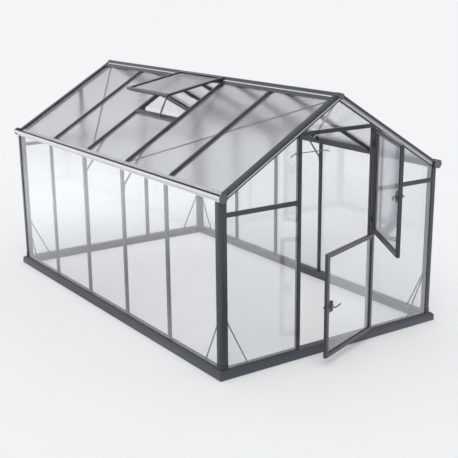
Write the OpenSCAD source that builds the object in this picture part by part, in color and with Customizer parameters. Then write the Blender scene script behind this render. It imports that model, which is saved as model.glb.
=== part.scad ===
// Walk-in glass greenhouse with a gabled roof, a two-leaf stable door and a roof vent.
// Origin: on the ground under the door, at the middle of the front base rail's underside.
// +X right, +Y towards the back gable, +Z up.

/* [Base] */
// Outside width of the base frame, across the door gable
base_w = 2250; // [1950:10:2700]
// Outside length of the base frame
base_l = 3780; // [3100:10:4600]
// Height of the base frame
base_h = 70; // [50:1:120]
// Width of a base rail, seen from above
base_rail_w = 80; // [60:1:120]
// Height of the upright outer face, below the sloping edge
base_face_h = 50; // [25:1:48]
// Width of the sloping outer edge
base_slope_w = 20; // [5:1:24]

/* [Walls] */
// Distance from the base's outside to the wall's outer face
wall_inset = 25; // [22:1:45]
// Height of the underside of the eave beam
eave_h = 1364; // [1150:1:1700]
// Number of bays along a side wall
side_bays = 5; // [3:1:6]
// Distance between glazing bars along a side
bay_pitch = 720; // [560:1:760]
// Size of a corner post, along each wall
corner_post = 60; // [50:1:80]
// Radius of a corner post's outer edge
corner_r = 32; // [5:1:45]
// Depth of a corner post's rebate for the pane
post_rebate = 12; // [8:1:20]
// Height of the cross bars in the gables
mid_bar_h = 1260; // [900:1:1300]

/* [Glazing bars] */
// Width of the outer cap of a bar
cap_w = 30; // [24:1:40]
// Thickness of the outer cap
cap_t = 5; // [3:0.5:8]
// Width of the web between two panes
web_w = 8; // [5:1:12]
// Width of the inner body of a bar
body_w = 24; // [16:1:34]
// Full depth of a bar, cap included
bar_d = 34; // [26:1:50]
// Thickness of the glazing
glass_t = 4; // [3:0.5:6]
// Clearance round a pane, at its edges
pane_gap = 2; // [1:0.5:3]
// Clearance at a seat, where a piece rests against its neighbour
seat_gap = 0.4; // [0.2:0.1:0.6]

/* [Roof] */
// Pitch of the roof, in degrees
roof_pitch = 31; // [24:0.5:38]
// Height of the roof face above the eave beam's plate, at the beam's inner face
eave_rise = 58; // [50:1:90]
// Distance from the side wall's outer face to the inner face of the eave beam
eave_beam_w = 65; // [55:1:80]
// Width of the eave beam's upright web
eave_web_w = 25; // [15:1:35]
// Thickness of the eave beam's lower plate
eave_plate_t = 9; // [8:1:16]
// Overhang of the gable rafters beyond the gable wall
verge_out = 22; // [10:1:40]
// Width of a gable rafter, along the building
verge_w = 58; // [46:1:80]
// Depth of a gable rafter below the roof face
verge_below = 15; // [12:1:30]
// Height of a gable rafter above the roof face
verge_above = 6; // [2:1:12]
// Radius of a gable rafter's outer edge
verge_r = 20; // [4:1:24]
// Depth of the gable's head bar, from the roof face to its underside
head_below = 47; // [44:1:56]
// Thickness of the head bar
head_t = 6; // [4:1:12]
// Length of the ridge wings down each slope
ridge_wing = 100; // [70:1:140]
// Radius of the ridge's rounded crown
ridge_r = 24; // [16:1:30]
// Height of the crown above the ridge line
ridge_rise = 4; // [3:0.5:10]
// Width of the ridge beam's hanging web
ridge_web = 24; // [14:1:40]
// Depth of the ridge beam below the ridge line
ridge_depth = 60; // [50:1:110]
// Width of the pale strip on each ridge wing
ridge_strip_w = 28; // [16:1:36]
// Distance of the strip from the ridge line, down the slope
ridge_strip_s = 30; // [28:1:50]
// Thickness of the pale strips on the ridge
strip_t = 1.5; // [1:0.5:3]
// Thickness of the closing strips under the gable rafters
verge_strip_t = 6; // [2:1:10]
// Overhang of the roof panes beyond the eave beam's web
pane_over = 8; // [4:1:20]

/* [Gutter] */
// Outside width of a gutter
gutter_w = 56; // [40:1:80]
// Outside height of a gutter
gutter_h = 40; // [36:1:70]
// Wall of a gutter
gutter_wall = 2.5; // [2:0.5:4]
// Radius of a gutter's outer lower edge
gutter_r = 26; // [8:1:34]
// Size of the dark bead along the gutter's lip
lip_size = 6; // [4:0.5:10]
// Radius of a gutter end cap
cap_r = 37; // [32:1:48]
// Thickness of an end cap
cap_plate_t = 4; // [3:0.5:6]
// Distance of an end cap's centre from the gutter's, towards the wall
cap_shift = 8; // [0:1:14]

/* [Door] */
// Distance between the centres of the door jambs
door_bay = 740; // [650:1:900]
// Width of a door jamb
jamb_w = 28; // [26:1:40]
// Distance of the header's centre below the head bars, where they pass the door jambs
header_drop = 5; // [2:1:30]
// Height of the joint between the two leaves
door_split = 917; // [700:1:1100]
// Gap between the two leaves
leaf_gap = 10; // [6:1:16]
// Gap below the lower leaf
sill_gap = 10; // [6:1:20]
// Gap between the upper leaf and the door header
head_gap = 8; // [6:1:20]
// Thickness of a leaf
leaf_t = 26; // [20:1:36]
// Width of a leaf's frame bars
leaf_bar = 32; // [24:1:44]
// Overlap of a closed leaf over the latch jamb
leaf_lap = 22; // [16:1:28]
// Depth of the rebate that holds a leaf's or the vent's pane
rebate = 8; // [6:1:12]
// Gap between the hinge axis and a leaf's edge
hinge_gap = 8; // [8:0.5:12]
// Distance from the gable's outer face to the hinge axis
hinge_out = 22; // [20:1:30]
// Radius of a hinge knuckle
knuckle_r = 6; // [5:0.5:7]
// Length of a hinge knuckle
knuckle_h = 26; // [20:1:40]
// Radius of a hinge pin
pin_r = 3; // [2:0.5:4]
// Clearance round a pin or a spindle
pin_gap = 0.4; // [0.2:0.1:0.6]
// Thickness of a hinge's web
hinge_web = 4; // [3:1:6]
// Opening angle of the lower leaf, as it stands
lower_open = 20; // [0:1:150]
// Opening angle of the upper leaf, as it stands
upper_open = 61; // [0:1:150]
// Height of the lower leaf's handle above the ground
lower_handle_h = 485; // [300:1:750]
// Height of the upper leaf's handle above the ground
upper_handle_h = 1365; // [1050:1:1550]
// Distance from a leaf's free edge to its handle's spindle
handle_in = 65; // [58:1:90]
// Length of the outer lever, towards the hinges
lever_l = 100; // [80:1:140]
// Radius of a lever
lever_r = 5; // [4:0.5:7]
// Distance of the levers from the leaf's faces
lever_out = 30; // [24:1:45]
// Length of the inner turn
turn_l = 28; // [16:1:34]
// Radius of the handle's spindle
spindle_r = 4; // [3:0.5:5]
// Radius of a rosette
rosette_r = 20; // [16:1:24]
// Thickness of a rosette
rosette_t = 5; // [3:0.5:8]
// Height of the lock case
lock_h = 80; // [60:1:120]
// Width of the lock case
lock_w = 48; // [40:1:60]
// Distance from a leaf's end to its hinge
hinge_inset = 110; // [80:1:160]
// Height of the bent bar on the latch jamb
stay_h = 1627; // [1500:1:1650]
// Length of the bent bar's straight part
stay_l = 306; // [200:1:330]
// Half the thickness of the bent bar
stay_r = 4; // [3:0.5:6]
// Length of the bar's bent ends
stay_end = 34; // [20:1:60]
// Slope of the bent ends, in degrees
stay_bend = 27; // [10:1:60]
// Size of the block that holds the bar
stay_block = 20; // [16:1:26]

/* [Roof vent] */
// Length of the vent down the slope, from its hinge
vent_l = 600; // [400:1:750]
// Distance of the vent's hinge from the ridge line, down the slope
vent_hinge_s = 34; // [30:1:60]
// Opening angle of the vent, in degrees
vent_open = 20; // [10:0.5:45]
// Width of the vent's frame bars
vent_bar = 30; // [20:1:40]
// Thickness of the vent's frame
vent_t = 18; // [12:1:24]
// Overlap of the vent over its sill
vent_lap = 12; // [6:1:20]
// Width of the vent's sill bar
sill_w = 42; // [30:1:60]
// Width of the vent's hinge rail
vent_rail_w = 24; // [16:1:30]
// Height of the vent's hinge above the ridge wing
vent_rise = 3; // [2:0.5:8]
// Gap between the vent's bay and the pale strips beside it
vent_clear = 6; // [5:1:12]
// Width of the vent's stay
stay_w = 10; // [6:1:16]
// Place of the stay's foot along the sill, as a share of its length
stay_foot = 0.38; // [0.2:0.01:0.8]
// Thickness of the vent's stay
stay_t = 4; // [3:0.5:6]

/* [Braces] */
// Width of a wind brace strap
strap_w = 16; // [8:1:24]
// Thickness of a wind brace strap
strap_t = 2; // [1.5:0.5:4]
// Width of a knee brace
knee_w = 23; // [14:1:30]
// Thickness of a knee brace's strip
knee_t = 4; // [3:0.5:6]
// Drop of a knee brace's foot below the eave beam
knee_drop = 140; // [80:1:200]
// Reach of a knee brace from the wall's outer face
knee_reach = 225; // [170:1:320]
// Length of a knee brace's feet
knee_foot = 36; // [24:1:60]
// Height of a corner brace's upper end
brace_h = 450; // [300:1:700]
// Distance from a corner to the lower end of its brace
brace_reach = 255; // [180:1:400]
// Thickness of a corner brace
brace_t = 8; // [6:1:14]
// Depth of a corner brace behind the wall's outer face
brace_in = 25; // [20:1:40]

/* [Hidden] */
$fn = 32;

anthracite = "#4a4d52";
dark = "#35383c";
pale = "#cfd1d3";
clear = "#dfe8ee";
hazy = "#d3d6d8";
steel = "#6f7275";

wall_x = base_w / 2 - wall_inset;
wall_y = base_l / 2 - wall_inset;
// A pane lies in a groove one seat_gap and a bit deeper than itself, the same on both faces.
glass_play = 0.5;
glass_d = cap_t + glass_play;
glass_zone = glass_t + 2 * glass_play;
// Length that a bar on a slope is made too long by, before it is cut upright.
overrun = 160;
eps = 1;
verge_y = wall_y + verge_out;
verge_in = verge_y - verge_w;

// The roof face is the plane of the rafters' outer caps. It meets the eave beam at eave_face_z.
tan_p = tan(roof_pitch);
cos_p = cos(roof_pitch);
eave_x = wall_x - eave_beam_w;
web_x = eave_x + eave_web_w;
eave_face_z = eave_h + eave_plate_t + eave_rise;
ridge_z = eave_face_z + tan_p * eave_x;
function roof_z(x, below = 0) = ridge_z - tan_p * x - below / cos_p;

bar_ys = [for (i = [1 : side_bays - 1]) (i - side_bays / 2) * bay_pitch];
vent_bay = floor(side_bays / 2);
vent_y0 = bar_ys[vent_bay - 1];
vent_y1 = bar_ys[vent_bay];
// Depth of the panes' inner face below the roof face, with the play in its groove
pane_under = cap_t + glass_zone;
// Play between a gable rafter and the eave beam that runs under it
verge_play = 2;

jamb_x = door_bay / 2;
strip_below = head_below - head_t;
wing_t = 3;
wing_lift = 1;
crown_z = ridge_z + ridge_rise - ridge_r;

hinge_x = jamb_x + 2;
hinge_y = -wall_y - hinge_out;
leaf_w = hinge_x + jamb_x - jamb_w / 2 + leaf_lap - hinge_gap;
header_z = roof_z(jamb_x - jamb_w / 2, head_below) - header_drop;
door_top = header_z - cap_w / 2 - head_gap;
lower_z0 = base_h + sill_gap;
lower_z1 = door_split - leaf_gap / 2;
upper_z0 = door_split + leaf_gap / 2;
handle_u = hinge_gap + leaf_w - handle_in;

// ---------------------------------------------------------------- shared sections and frames

// Glazing bar section: u across the bar, d inward from its outer face.
module bar_section(outer = cap_w, inner = body_w) {
    d1 = cap_t;
    d2 = cap_t + glass_zone;
    polygon([
        [-outer / 2, 0], [outer / 2, 0], [outer / 2, d1], [web_w / 2, d1],
        [web_w / 2, d2], [inner / 2, d2], [inner / 2, bar_d], [-inner / 2, bar_d],
        [-inner / 2, d2], [-web_w / 2, d2], [-web_w / 2, d1], [-outer / 2, d1]
    ]);
}

// An upright glazing bar between two heights.
module upright(z0, z1, outer = cap_w, inner = body_w) {
    translate([0, 0, z0]) linear_extrude(z1 - z0) bar_section(outer, inner);
}

// A level bar along local x, between x0 and x1, with its section standing on edge.
module level_bar(x0, x1, z) {
    translate([x0, 0, z]) rotate([90, 0, 90]) linear_extrude(x1 - x0) rotate(90) mirror([0, 1]) bar_section();
}

// Places a wall's local frame: x along the wall, y inward, z up. side is -1 or 1.
module on_side(side) {
    translate([side * wall_x, 0, 0]) rotate([0, 0, 90 * side]) children();
}
module on_gable(side) {
    translate([0, side * wall_y, 0]) rotate([0, 0, side > 0 ? 180 : 0]) children();
}

// Places a slope's local frame: x down the slope from the ridge, y along the ridge, z out of the roof.
module on_roof(side) {
    mirror([side < 0 ? 1 : 0, 0, 0]) translate([0, 0, ridge_z]) rotate([0, roof_pitch, 0]) children();
}

// A square bar of section w x t between two points, its t side kept upright.
module bar_between(p, q, w, t) {
    v = q - p;
    run = norm([v[0], v[1]]);
    translate(p) rotate([0, 0, atan2(v[1], v[0])]) rotate([0, -atan2(v[2], run), 0])
        translate([0, -w / 2, -t / 2]) cube([norm(v), w, t]);
}

// The parts are drawn about the building's middle. This moves them to the origin under the door.
module from_door() {
    translate([0, (base_l - base_rail_w) / 2, 0]) children();
}

// ---------------------------------------------------------------- base

// Base rail, extruded along local x and mitred at both ends. y runs inward.
module base_rail(len) {
    w = base_rail_w;
    intersection() {
        translate([-len / 2, 0, 0]) rotate([90, 0, 90]) linear_extrude(len)
            polygon([[0, 0], [w, 0], [w, base_h], [base_slope_w, base_h], [0, base_face_h]]);
        linear_extrude(base_h) polygon([
            [-len / 2 + seat_gap / 2, 0], [len / 2 - seat_gap / 2, 0],
            [len / 2 - w - seat_gap / 2, w], [-len / 2 + w + seat_gap / 2, w]
        ]);
    }
}
module base_front() {
    color(anthracite) from_door() translate([0, -base_l / 2, 0]) base_rail(base_w);
}
module base_back() {
    color(anthracite) from_door() translate([0, base_l / 2, 0]) rotate([0, 0, 180]) base_rail(base_w);
}
module base_left() {
    color(anthracite) from_door() translate([-base_w / 2, 0, 0]) rotate([0, 0, -90]) base_rail(base_l);
}
module base_right() {
    color(anthracite) from_door() translate([base_w / 2, 0, 0]) rotate([0, 0, 90]) base_rail(base_l);
}

// ---------------------------------------------------------------- wall frame

// Corner post: a rounded angle with a rebate for the pane on each wall.
module corner_post_section() {
    c = corner_post;
    groove = cap_t;
    difference() {
        union() {
            intersection() {
                translate([corner_r, corner_r]) circle(corner_r, $fn = 64);
                square(corner_r);
            }
            translate([corner_r, 0]) square([c - corner_r, c]);
            translate([0, corner_r]) square([c, c - corner_r]);
        }
        translate([c - post_rebate, groove]) square([post_rebate + eps, glass_zone]);
        translate([groove, c - post_rebate]) square([glass_zone, post_rebate + eps]);
    }
}
module corner_posts() {
    color(anthracite) from_door() for (sx = [-1, 1], sy = [-1, 1])
        translate([0, 0, base_h]) mirror([sx > 0 ? 1 : 0, 0, 0]) mirror([0, sy > 0 ? 1 : 0, 0])
            translate([-wall_x, -wall_y, 0]) linear_extrude(eave_h - base_h - seat_gap) corner_post_section();
}

// A side bar stands behind the panes, which meet on its flange.
module side_bars(side) {
    d0 = glass_d + glass_t + seat_gap;
    d1 = d0 + cap_t;
    color(anthracite) from_door() on_side(side) for (y = bar_ys) translate([side * y, 0, base_h])
        linear_extrude(eave_h - seat_gap - base_h) polygon([
            [-cap_w / 2, d0], [cap_w / 2, d0], [cap_w / 2, d1], [body_w / 2, d1],
            [body_w / 2, bar_d], [-body_w / 2, bar_d], [-body_w / 2, d1], [-cap_w / 2, d1]
        ]);
}
module side_bars_left() { side_bars(-1); }
module side_bars_right() { side_bars(1); }

// Keeps what lies under the gable's head bars.
module under_head() {
    intersection() {
        children();
        translate([0, bar_d + eps, 0]) rotate([90, 0, 0]) linear_extrude(bar_d + 2 * eps) polygon([
            [-wall_x, 0], [wall_x, 0], [wall_x, roof_z(wall_x, head_below) - seat_gap],
            [0, roof_z(0, head_below) - seat_gap], [-wall_x, roof_z(wall_x, head_below) - seat_gap]
        ]);
    }
}
// A gable upright, its top cut to the slope of the head bar.
module gable_upright(x, outer, inner) {
    under_head() translate([x, 0, 0]) upright(base_h, roof_z(0), outer, inner);
}
module gable_bars_back() {
    color(anthracite) from_door() on_gable(1) for (x = [-jamb_x, jamb_x]) gable_upright(x, cap_w, body_w);
}
module door_jambs() {
    color(anthracite) from_door() on_gable(-1) for (x = [-jamb_x, jamb_x]) gable_upright(x, jamb_w, jamb_w);
}

module door_header() {
    reach = jamb_x - jamb_w / 2 - seat_gap;
    color(anthracite) from_door() on_gable(-1) under_head() level_bar(-reach, reach, header_z);
}

// Cross bars at mid height, between the gable's uprights.
module mid_bars_front() {
    x0 = jamb_x + jamb_w / 2 + seat_gap;
    x1 = wall_x - corner_post - seat_gap;
    color(anthracite) from_door() on_gable(-1) for (s = [-1, 1])
        level_bar(s > 0 ? x0 : -x1, s > 0 ? x1 : -x0, mid_bar_h);
}
module mid_bars_back() {
    x0 = jamb_x - cap_w / 2 - seat_gap;
    x1 = jamb_x + cap_w / 2 + seat_gap;
    x2 = wall_x - corner_post - seat_gap;
    color(anthracite) from_door() on_gable(1) {
        level_bar(-x0, x0, mid_bar_h);
        level_bar(x1, x2, mid_bar_h);
        level_bar(-x2, -x1, mid_bar_h);
    }
}

// ---------------------------------------------------------------- eaves, gutters and ridge

// Eave beam: a plate on the posts with an upright web. Between the gable rafters the web is
// taller, and the rafters and panes land on its sloping top.
module eave_beam(side) {
    low_top = roof_z(web_x, verge_below) - verge_play;
    half = verge_in - seat_gap;
    color(anthracite) from_door() mirror([side < 0 ? 1 : 0, 0, 0]) union() {
        translate([0, wall_y, 0]) rotate([90, 0, 0]) linear_extrude(2 * wall_y) polygon([
            [eave_x, eave_h], [wall_x, eave_h], [wall_x, eave_h + eave_plate_t],
            [web_x, eave_h + eave_plate_t], [web_x, low_top], [eave_x, low_top]
        ]);
        translate([0, half, 0]) rotate([90, 0, 0]) linear_extrude(2 * half) polygon([
            [eave_x, eave_h + eave_plate_t], [web_x, eave_h + eave_plate_t],
            [web_x, roof_z(web_x, pane_under)], [eave_x, roof_z(eave_x, pane_under)]
        ]);
    }
}
module eave_beam_left() { eave_beam(-1); }
module eave_beam_right() { eave_beam(1); }

// Gutter trough: open at the top, rounded at its outer lower edge. Its back stops under the panes.
gutter_x0 = web_x + seat_gap;
gutter_x1 = gutter_x0 + gutter_w;
gutter_z0 = eave_h + eave_plate_t + seat_gap;
gutter_z1 = gutter_z0 + gutter_h;
gutter_back_z = roof_z(gutter_x0, pane_under) - gutter_r / 4;
function arc(cx, cy, r, a0, a1, n = 8) =
    [for (i = [0 : n]) let (a = a0 + (a1 - a0) * i / n) [cx + r * cos(a), cy + r * sin(a)]];
module gutter(side) {
    r = gutter_r;
    t = gutter_wall;
    color(pale) from_door() mirror([side < 0 ? 1 : 0, 0, 0]) translate([0, verge_y, 0]) rotate([90, 0, 0])
        linear_extrude(2 * verge_y) polygon(concat(
            [[gutter_x0, gutter_back_z], [gutter_x0, gutter_z0]],
            arc(gutter_x1 - r, gutter_z0 + r, r, -90, 0),
            [[gutter_x1, gutter_z1], [gutter_x1 - t, gutter_z1]],
            arc(gutter_x1 - r, gutter_z0 + r, r - t, 0, -90),
            [[gutter_x0 + t, gutter_z0 + t], [gutter_x0 + t, gutter_back_z]]
        ));
}
module gutter_left() { gutter(-1); }
module gutter_right() { gutter(1); }

module gutter_lips() {
    s = lip_size;
    color(dark) from_door() for (side = [0, 1]) mirror([side, 0, 0])
        translate([gutter_x1 - (gutter_wall + s) / 2, verge_y, gutter_z1 + seat_gap]) rotate([90, 0, 0])
            linear_extrude(2 * verge_y) square([s, s]);
}

// Round caps that close the gutters' ends, and the smaller ones on the ridge.
module end_cap(x, z, r) {
    for (sx = [-1, 1], sy = [-1, 1]) translate([sx * x, sy * (verge_y + seat_gap + cap_plate_t / 2), z])
        rotate([90, 0, 0]) cylinder(cap_plate_t, r = r, center = true, $fn = 64);
}
module end_caps() {
    color(dark) from_door() {
        end_cap((gutter_x0 + gutter_x1) / 2 - cap_shift, (gutter_z0 + gutter_z1) / 2, cap_r);
        for (sy = [-1, 1]) translate([0, sy * (verge_y + seat_gap + cap_plate_t / 2), crown_z])
            rotate([90, 0, 0]) cylinder(cap_plate_t, r = ridge_r + 1, center = true, $fn = 64);
    }
}

// Ridge beam: a hanging web with a rounded crown, and a wing beside it over the panes on each slope.
module ridge_beam() {
    half = verge_in - seat_gap;
    wing_x = ridge_wing * cos_p;
    web = ridge_web / 2;
    crown_a = 41;
    crown_x = ridge_r * cos(crown_a);
    wing_x0 = crown_x + seat_gap;
    function under(x) = roof_z(x, -wing_lift);
    function over(x) = roof_z(x, -wing_lift - wing_t);
    color(anthracite) from_door() translate([0, half, 0]) rotate([90, 0, 0]) linear_extrude(2 * half) {
        polygon(concat(
            [[web, ridge_z - ridge_depth], [web, under(web)], [crown_x, under(crown_x)]],
            arc(0, crown_z, ridge_r, crown_a, 180 - crown_a),
            [[-crown_x, under(crown_x)], [-web, under(web)], [-web, ridge_z - ridge_depth]]
        ));
        for (s = [-1, 1]) polygon([
            [s * wing_x0, under(wing_x0)], [s * wing_x, under(wing_x)],
            [s * wing_x, over(wing_x)], [s * wing_x0, over(wing_x0)]
        ]);
    }
}

// ---------------------------------------------------------------- roof frame

rafter_x0 = ridge_web / 2 + seat_gap;
rafter_x1 = eave_x - seat_gap;
rafter_s0 = rafter_x0 / cos_p;
rafter_s1 = rafter_x1 / cos_p;
pane_s1 = (web_x + pane_over) / cos_p;

// An intermediate rafter: a glazing bar laid on the slope, cut upright at the ridge and the eave.
module rafter(side, y) {
    intersection() {
        on_roof(side) translate([0, y, 0]) multmatrix([[0, 0, 1, 0], [1, 0, 0, 0], [0, -1, 0, 0], [0, 0, 0, 1]])
            linear_extrude(rafter_s1 + overrun) bar_section();
        translate([side > 0 ? rafter_x0 : -rafter_x1, y - cap_w, 0])
            cube([rafter_x1 - rafter_x0, 2 * cap_w, 2 * ridge_z]);
    }
}
module rafters(side) {
    color(anthracite) from_door() for (y = bar_ys) rafter(side, y);
}
module rafters_left() { rafters(-1); }
module rafters_right() { rafters(1); }

// Keeps what lies on one slope between the ridge line and a distance from it.
module within_slope(sx, x1) {
    intersection() {
        children();
        translate([sx > 0 ? seat_gap / 2 : -x1, -2 * verge_y, 0])
            cube([x1 - seat_gap / 2, 4 * verge_y, 2 * ridge_z]);
    }
}
// Places a bar's local frame at a gable end of a slope: x down the slope, y inward from the gable's face.
module at_verge(sx, sy, y) {
    on_roof(sx) mirror([0, sy > 0 ? 1 : 0, 0]) translate([-overrun, y, 0]) children();
}
// Gable rafters: wide verge bars with a rounded outer edge.
module gable_rafter(sx, sy) {
    r = verge_r;
    within_slope(sx, web_x) at_verge(sx, sy, -verge_y) rotate([90, 0, 90]) linear_extrude(rafter_s1 + 2 * overrun)
        union() {
            translate([0, -verge_below]) square([verge_w, verge_below + verge_above - r]);
            translate([r, verge_above - r]) square([verge_w - r, r]);
            translate([r, verge_above - r]) intersection() {
                circle(r, $fn = 64);
                translate([-r, 0]) square(r);
            }
        }
}
// The head bar under a gable rafter, which holds the gable panes' tops.
module head_bar(sx, sy) {
    within_slope(sx, rafter_x1) at_verge(sx, sy, -wall_y)
        translate([0, 0, -head_below]) cube([rafter_s1 + 2 * overrun, bar_d, head_t]);
}
module gable_rafters_front() {
    color(anthracite) from_door() for (sx = [-1, 1]) {
        gable_rafter(sx, -1);
        head_bar(sx, -1);
    }
}
module gable_rafters_back() {
    color(anthracite) from_door() for (sx = [-1, 1]) {
        gable_rafter(sx, 1);
        head_bar(sx, 1);
    }
}

// Pale closing strips: between each gable rafter and its head bar, and along the ridge wings.
module trim_strips() {
    half = verge_in - seat_gap;
    color(pale) from_door() {
        for (sx = [-1, 1], sy = [-1, 1]) within_slope(sx, rafter_x1) at_verge(sx, sy, -wall_y + verge_strip_t / 2)
            translate([0, 0, seat_gap - strip_below])
                cube([rafter_s1 + 2 * overrun, verge_strip_t, strip_below - verge_below - 2 * seat_gap]);
        for (run = [[1, -half, half], [-1, -half, vent_y0 - vent_clear], [-1, vent_y1 + vent_clear, half]])
            on_roof(run[0]) translate([ridge_strip_s, run[1], wing_lift + wing_t + seat_gap])
                cube([ridge_strip_w, run[2] - run[1], strip_t]);
    }
}

// ---------------------------------------------------------------- glazing

module pane(x0, x1, z0, z1) {
    translate([x0, glass_d, z0]) cube([x1 - x0, glass_t, z1 - z0]);
}
edge = web_w / 2 + pane_gap;
corner_in = corner_post - post_rebate + pane_gap;

module wall_glass(side) {
    color(clear, 0.4) from_door() on_side(side) for (i = [0 : side_bays - 1]) {
        x0 = i == 0 ? -wall_y + corner_in : bar_ys[i - 1] + pane_gap / 2;
        x1 = i == side_bays - 1 ? wall_y - corner_in : bar_ys[i] - pane_gap / 2;
        pane(x0, x1, base_h + seat_gap, eave_h - seat_gap);
    }
}
module wall_glass_left() { wall_glass(-1); }
module wall_glass_right() { wall_glass(1); }

// A gable pane whose top follows the head bar and steps down under the eave beam.
module sloped_pane(from, to, z0) {
    function head(x) = roof_z(abs(x), head_below) - seat_gap;
    widest = (head(0) - z0 - pane_gap) / tan_p;
    x0 = max(from, -widest);
    x1 = min(to, widest);
    left = min(-x0, rafter_x1);
    right = min(x1, rafter_x1);
    low = eave_h - seat_gap;
    translate([0, glass_d + glass_t, 0]) rotate([90, 0, 0]) linear_extrude(glass_t)
        polygon(concat(
            [[x0, z0], [x1, z0]],
            x1 > right ? [[x1, low], [right, low]] : [],
            [[right, head(right)]],
            x0 < 0 && x1 > 0 ? [[0, head(0)]] : [],
            [[-left, head(left)]],
            -x0 > left ? [[-left, low], [x0, low]] : []
        ));
}
module gable_glass_front() {
    far = wall_x - corner_in;
    near = jamb_x + edge;
    low = mid_bar_h - edge;
    high = mid_bar_h + edge;
    color(clear, 0.4) from_door() on_gable(-1) {
        pane(-far, -near, base_h + seat_gap, low);
        pane(near, far, base_h + seat_gap, low);
        sloped_pane(-far, -near, high);
        sloped_pane(near, far, high);
        sloped_pane(-near + 2 * edge, near - 2 * edge, header_z + edge);
    }
}
module gable_glass_back() {
    far = wall_x - corner_in;
    near = jamb_x + edge;
    low = mid_bar_h - edge;
    high = mid_bar_h + edge;
    bays = [[-far, -near], [-near + 2 * edge, near - 2 * edge], [near, far]];
    color(clear, 0.4) from_door() on_gable(1) for (b = bays) {
        pane(b[0], b[1], base_h + seat_gap, low);
        sloped_pane(b[0], b[1], high);
    }
}

// Roof panes, one a bay; the vent's bay on the left slope starts below its sill.
vent_sill_s = vent_hinge_s + vent_l - vent_lap;
module roof_glass(side) {
    s0 = rafter_s0 + pane_gap + pane_under * tan_p;
    color(hazy, 0.6) from_door() on_roof(side) for (i = [0 : side_bays - 1]) {
        y0 = i == 0 ? -verge_in + seat_gap : bar_ys[i - 1] + edge;
        y1 = i == side_bays - 1 ? verge_in - seat_gap : bar_ys[i] - edge;
        start = side < 0 && i == vent_bay ? vent_sill_s + sill_w / 2 : s0;
        translate([start, y0, -glass_d - glass_t]) cube([pane_s1 - start, y1 - y0, glass_t]);
    }
}
module roof_glass_left() { roof_glass(-1); }
module roof_glass_right() { roof_glass(1); }

// ---------------------------------------------------------------- roof vent

vent_lift = wing_lift + wing_t + vent_rise;
vent_w = vent_y1 - vent_y0;
// Local frame of the vent: x from its hinge towards its free edge, z out of the roof.
module on_vent() {
    on_roof(-1) translate([vent_hinge_s, 0, vent_lift]) rotate([0, -vent_open, 0]) children();
}
module vent_frame() {
    inner = [vent_l - 2 * vent_bar, vent_w - 2 * vent_bar];
    color(anthracite) from_door() on_vent() translate([0, vent_y0, 0]) difference() {
        cube([vent_l, vent_w, vent_t]);
        translate([vent_bar, vent_bar, -eps]) cube([inner[0], inner[1], vent_t + 2 * eps]);
        translate([vent_bar - rebate, vent_bar - rebate, (vent_t - glass_zone) / 2])
            cube([inner[0] + 2 * rebate, inner[1] + 2 * rebate, glass_zone]);
    }
}
module vent_glass() {
    g = vent_bar - rebate + pane_gap;
    color(hazy, 0.6) from_door() on_vent() translate([g, vent_y0 + g, (vent_t - glass_t) / 2])
        cube([vent_l - 2 * g, vent_w - 2 * g, glass_t]);
}
// The sill bar that carries the shortened pane's top edge, and the hinge rail on the ridge wing.
module vent_rails() {
    y0 = vent_y0 + cap_w / 2 + seat_gap;
    w = vent_w - cap_w - 2 * seat_gap;
    color(anthracite) from_door() on_roof(-1) {
        translate([vent_sill_s - sill_w / 2, y0, -bar_d]) difference() {
            cube([sill_w, w, bar_d]);
            translate([sill_w / 2 - pane_gap, -eps, bar_d - pane_under]) cube([sill_w, w + 2 * eps, glass_zone]);
        }
        translate([vent_hinge_s - vent_rail_w / 2, vent_y0, wing_lift + wing_t + seat_gap])
            cube([vent_rail_w, vent_w, vent_rise - 2 * seat_gap]);
    }
}
// Casement stay: a flat bar from the sill to the corner of the vent's free rail.
module vent_stay() {
    reach = vent_l - vent_bar / 2;
    foot = [vent_sill_s, vent_y0 + stay_foot * vent_w, stay_t];
    head = [vent_hinge_s + reach * cos(vent_open), vent_y0 + vent_bar, vent_lift + reach * sin(vent_open) - stay_t];
    color(steel) from_door() on_roof(-1) bar_between(foot, head, stay_w, stay_t);
}

// ---------------------------------------------------------------- braces

module wind_braces() {
    z = -bar_d - seat_gap - strap_t / 2;
    reach = floor((side_bays - 1) / 2);
    color(dark) from_door() for (side = [-1, 1], end = [-1, 1]) on_roof(side)
        bar_between([rafter_s0 + bar_d * tan_p + strap_w, end * (wall_y - corner_post), z],
            [rafter_s1 - 2 * strap_w, end * abs(bar_ys[reach]), z], strap_w, strap_t);
}

// Knee brace: a bent strip from the post's inner face to the rafter's underside.
module knee_braces() {
    x0 = wall_x - bar_d - seat_gap;
    z0 = eave_h - knee_drop;
    x1 = wall_x - knee_reach;
    z1 = roof_z(x1, bar_d) - seat_gap;
    x2 = x1 - knee_foot * cos_p;
    z2 = roof_z(x2, bar_d) - seat_gap;
    t = knee_t;
    slope = atan((z1 - z0) / (x0 - x1));
    x3 = x1 - t * tan((slope - roof_pitch) / 2);
    color(anthracite) from_door() for (side = [0, 1], y = [vent_y0, vent_y1]) mirror([side, 0, 0])
        translate([0, y + knee_w / 2, 0]) rotate([90, 0, 0]) linear_extrude(knee_w) polygon([
            [x0, z0 - knee_foot], [x0, z0], [x1, z1], [x2, z2], [x2, z2 - t / cos_p],
            [x3, roof_z(x3, bar_d) - seat_gap - t / cos_p],
            [x0 - t, z0 - t * tan(slope / 2)], [x0 - t, z0 - knee_foot]
        ]);
}

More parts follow.
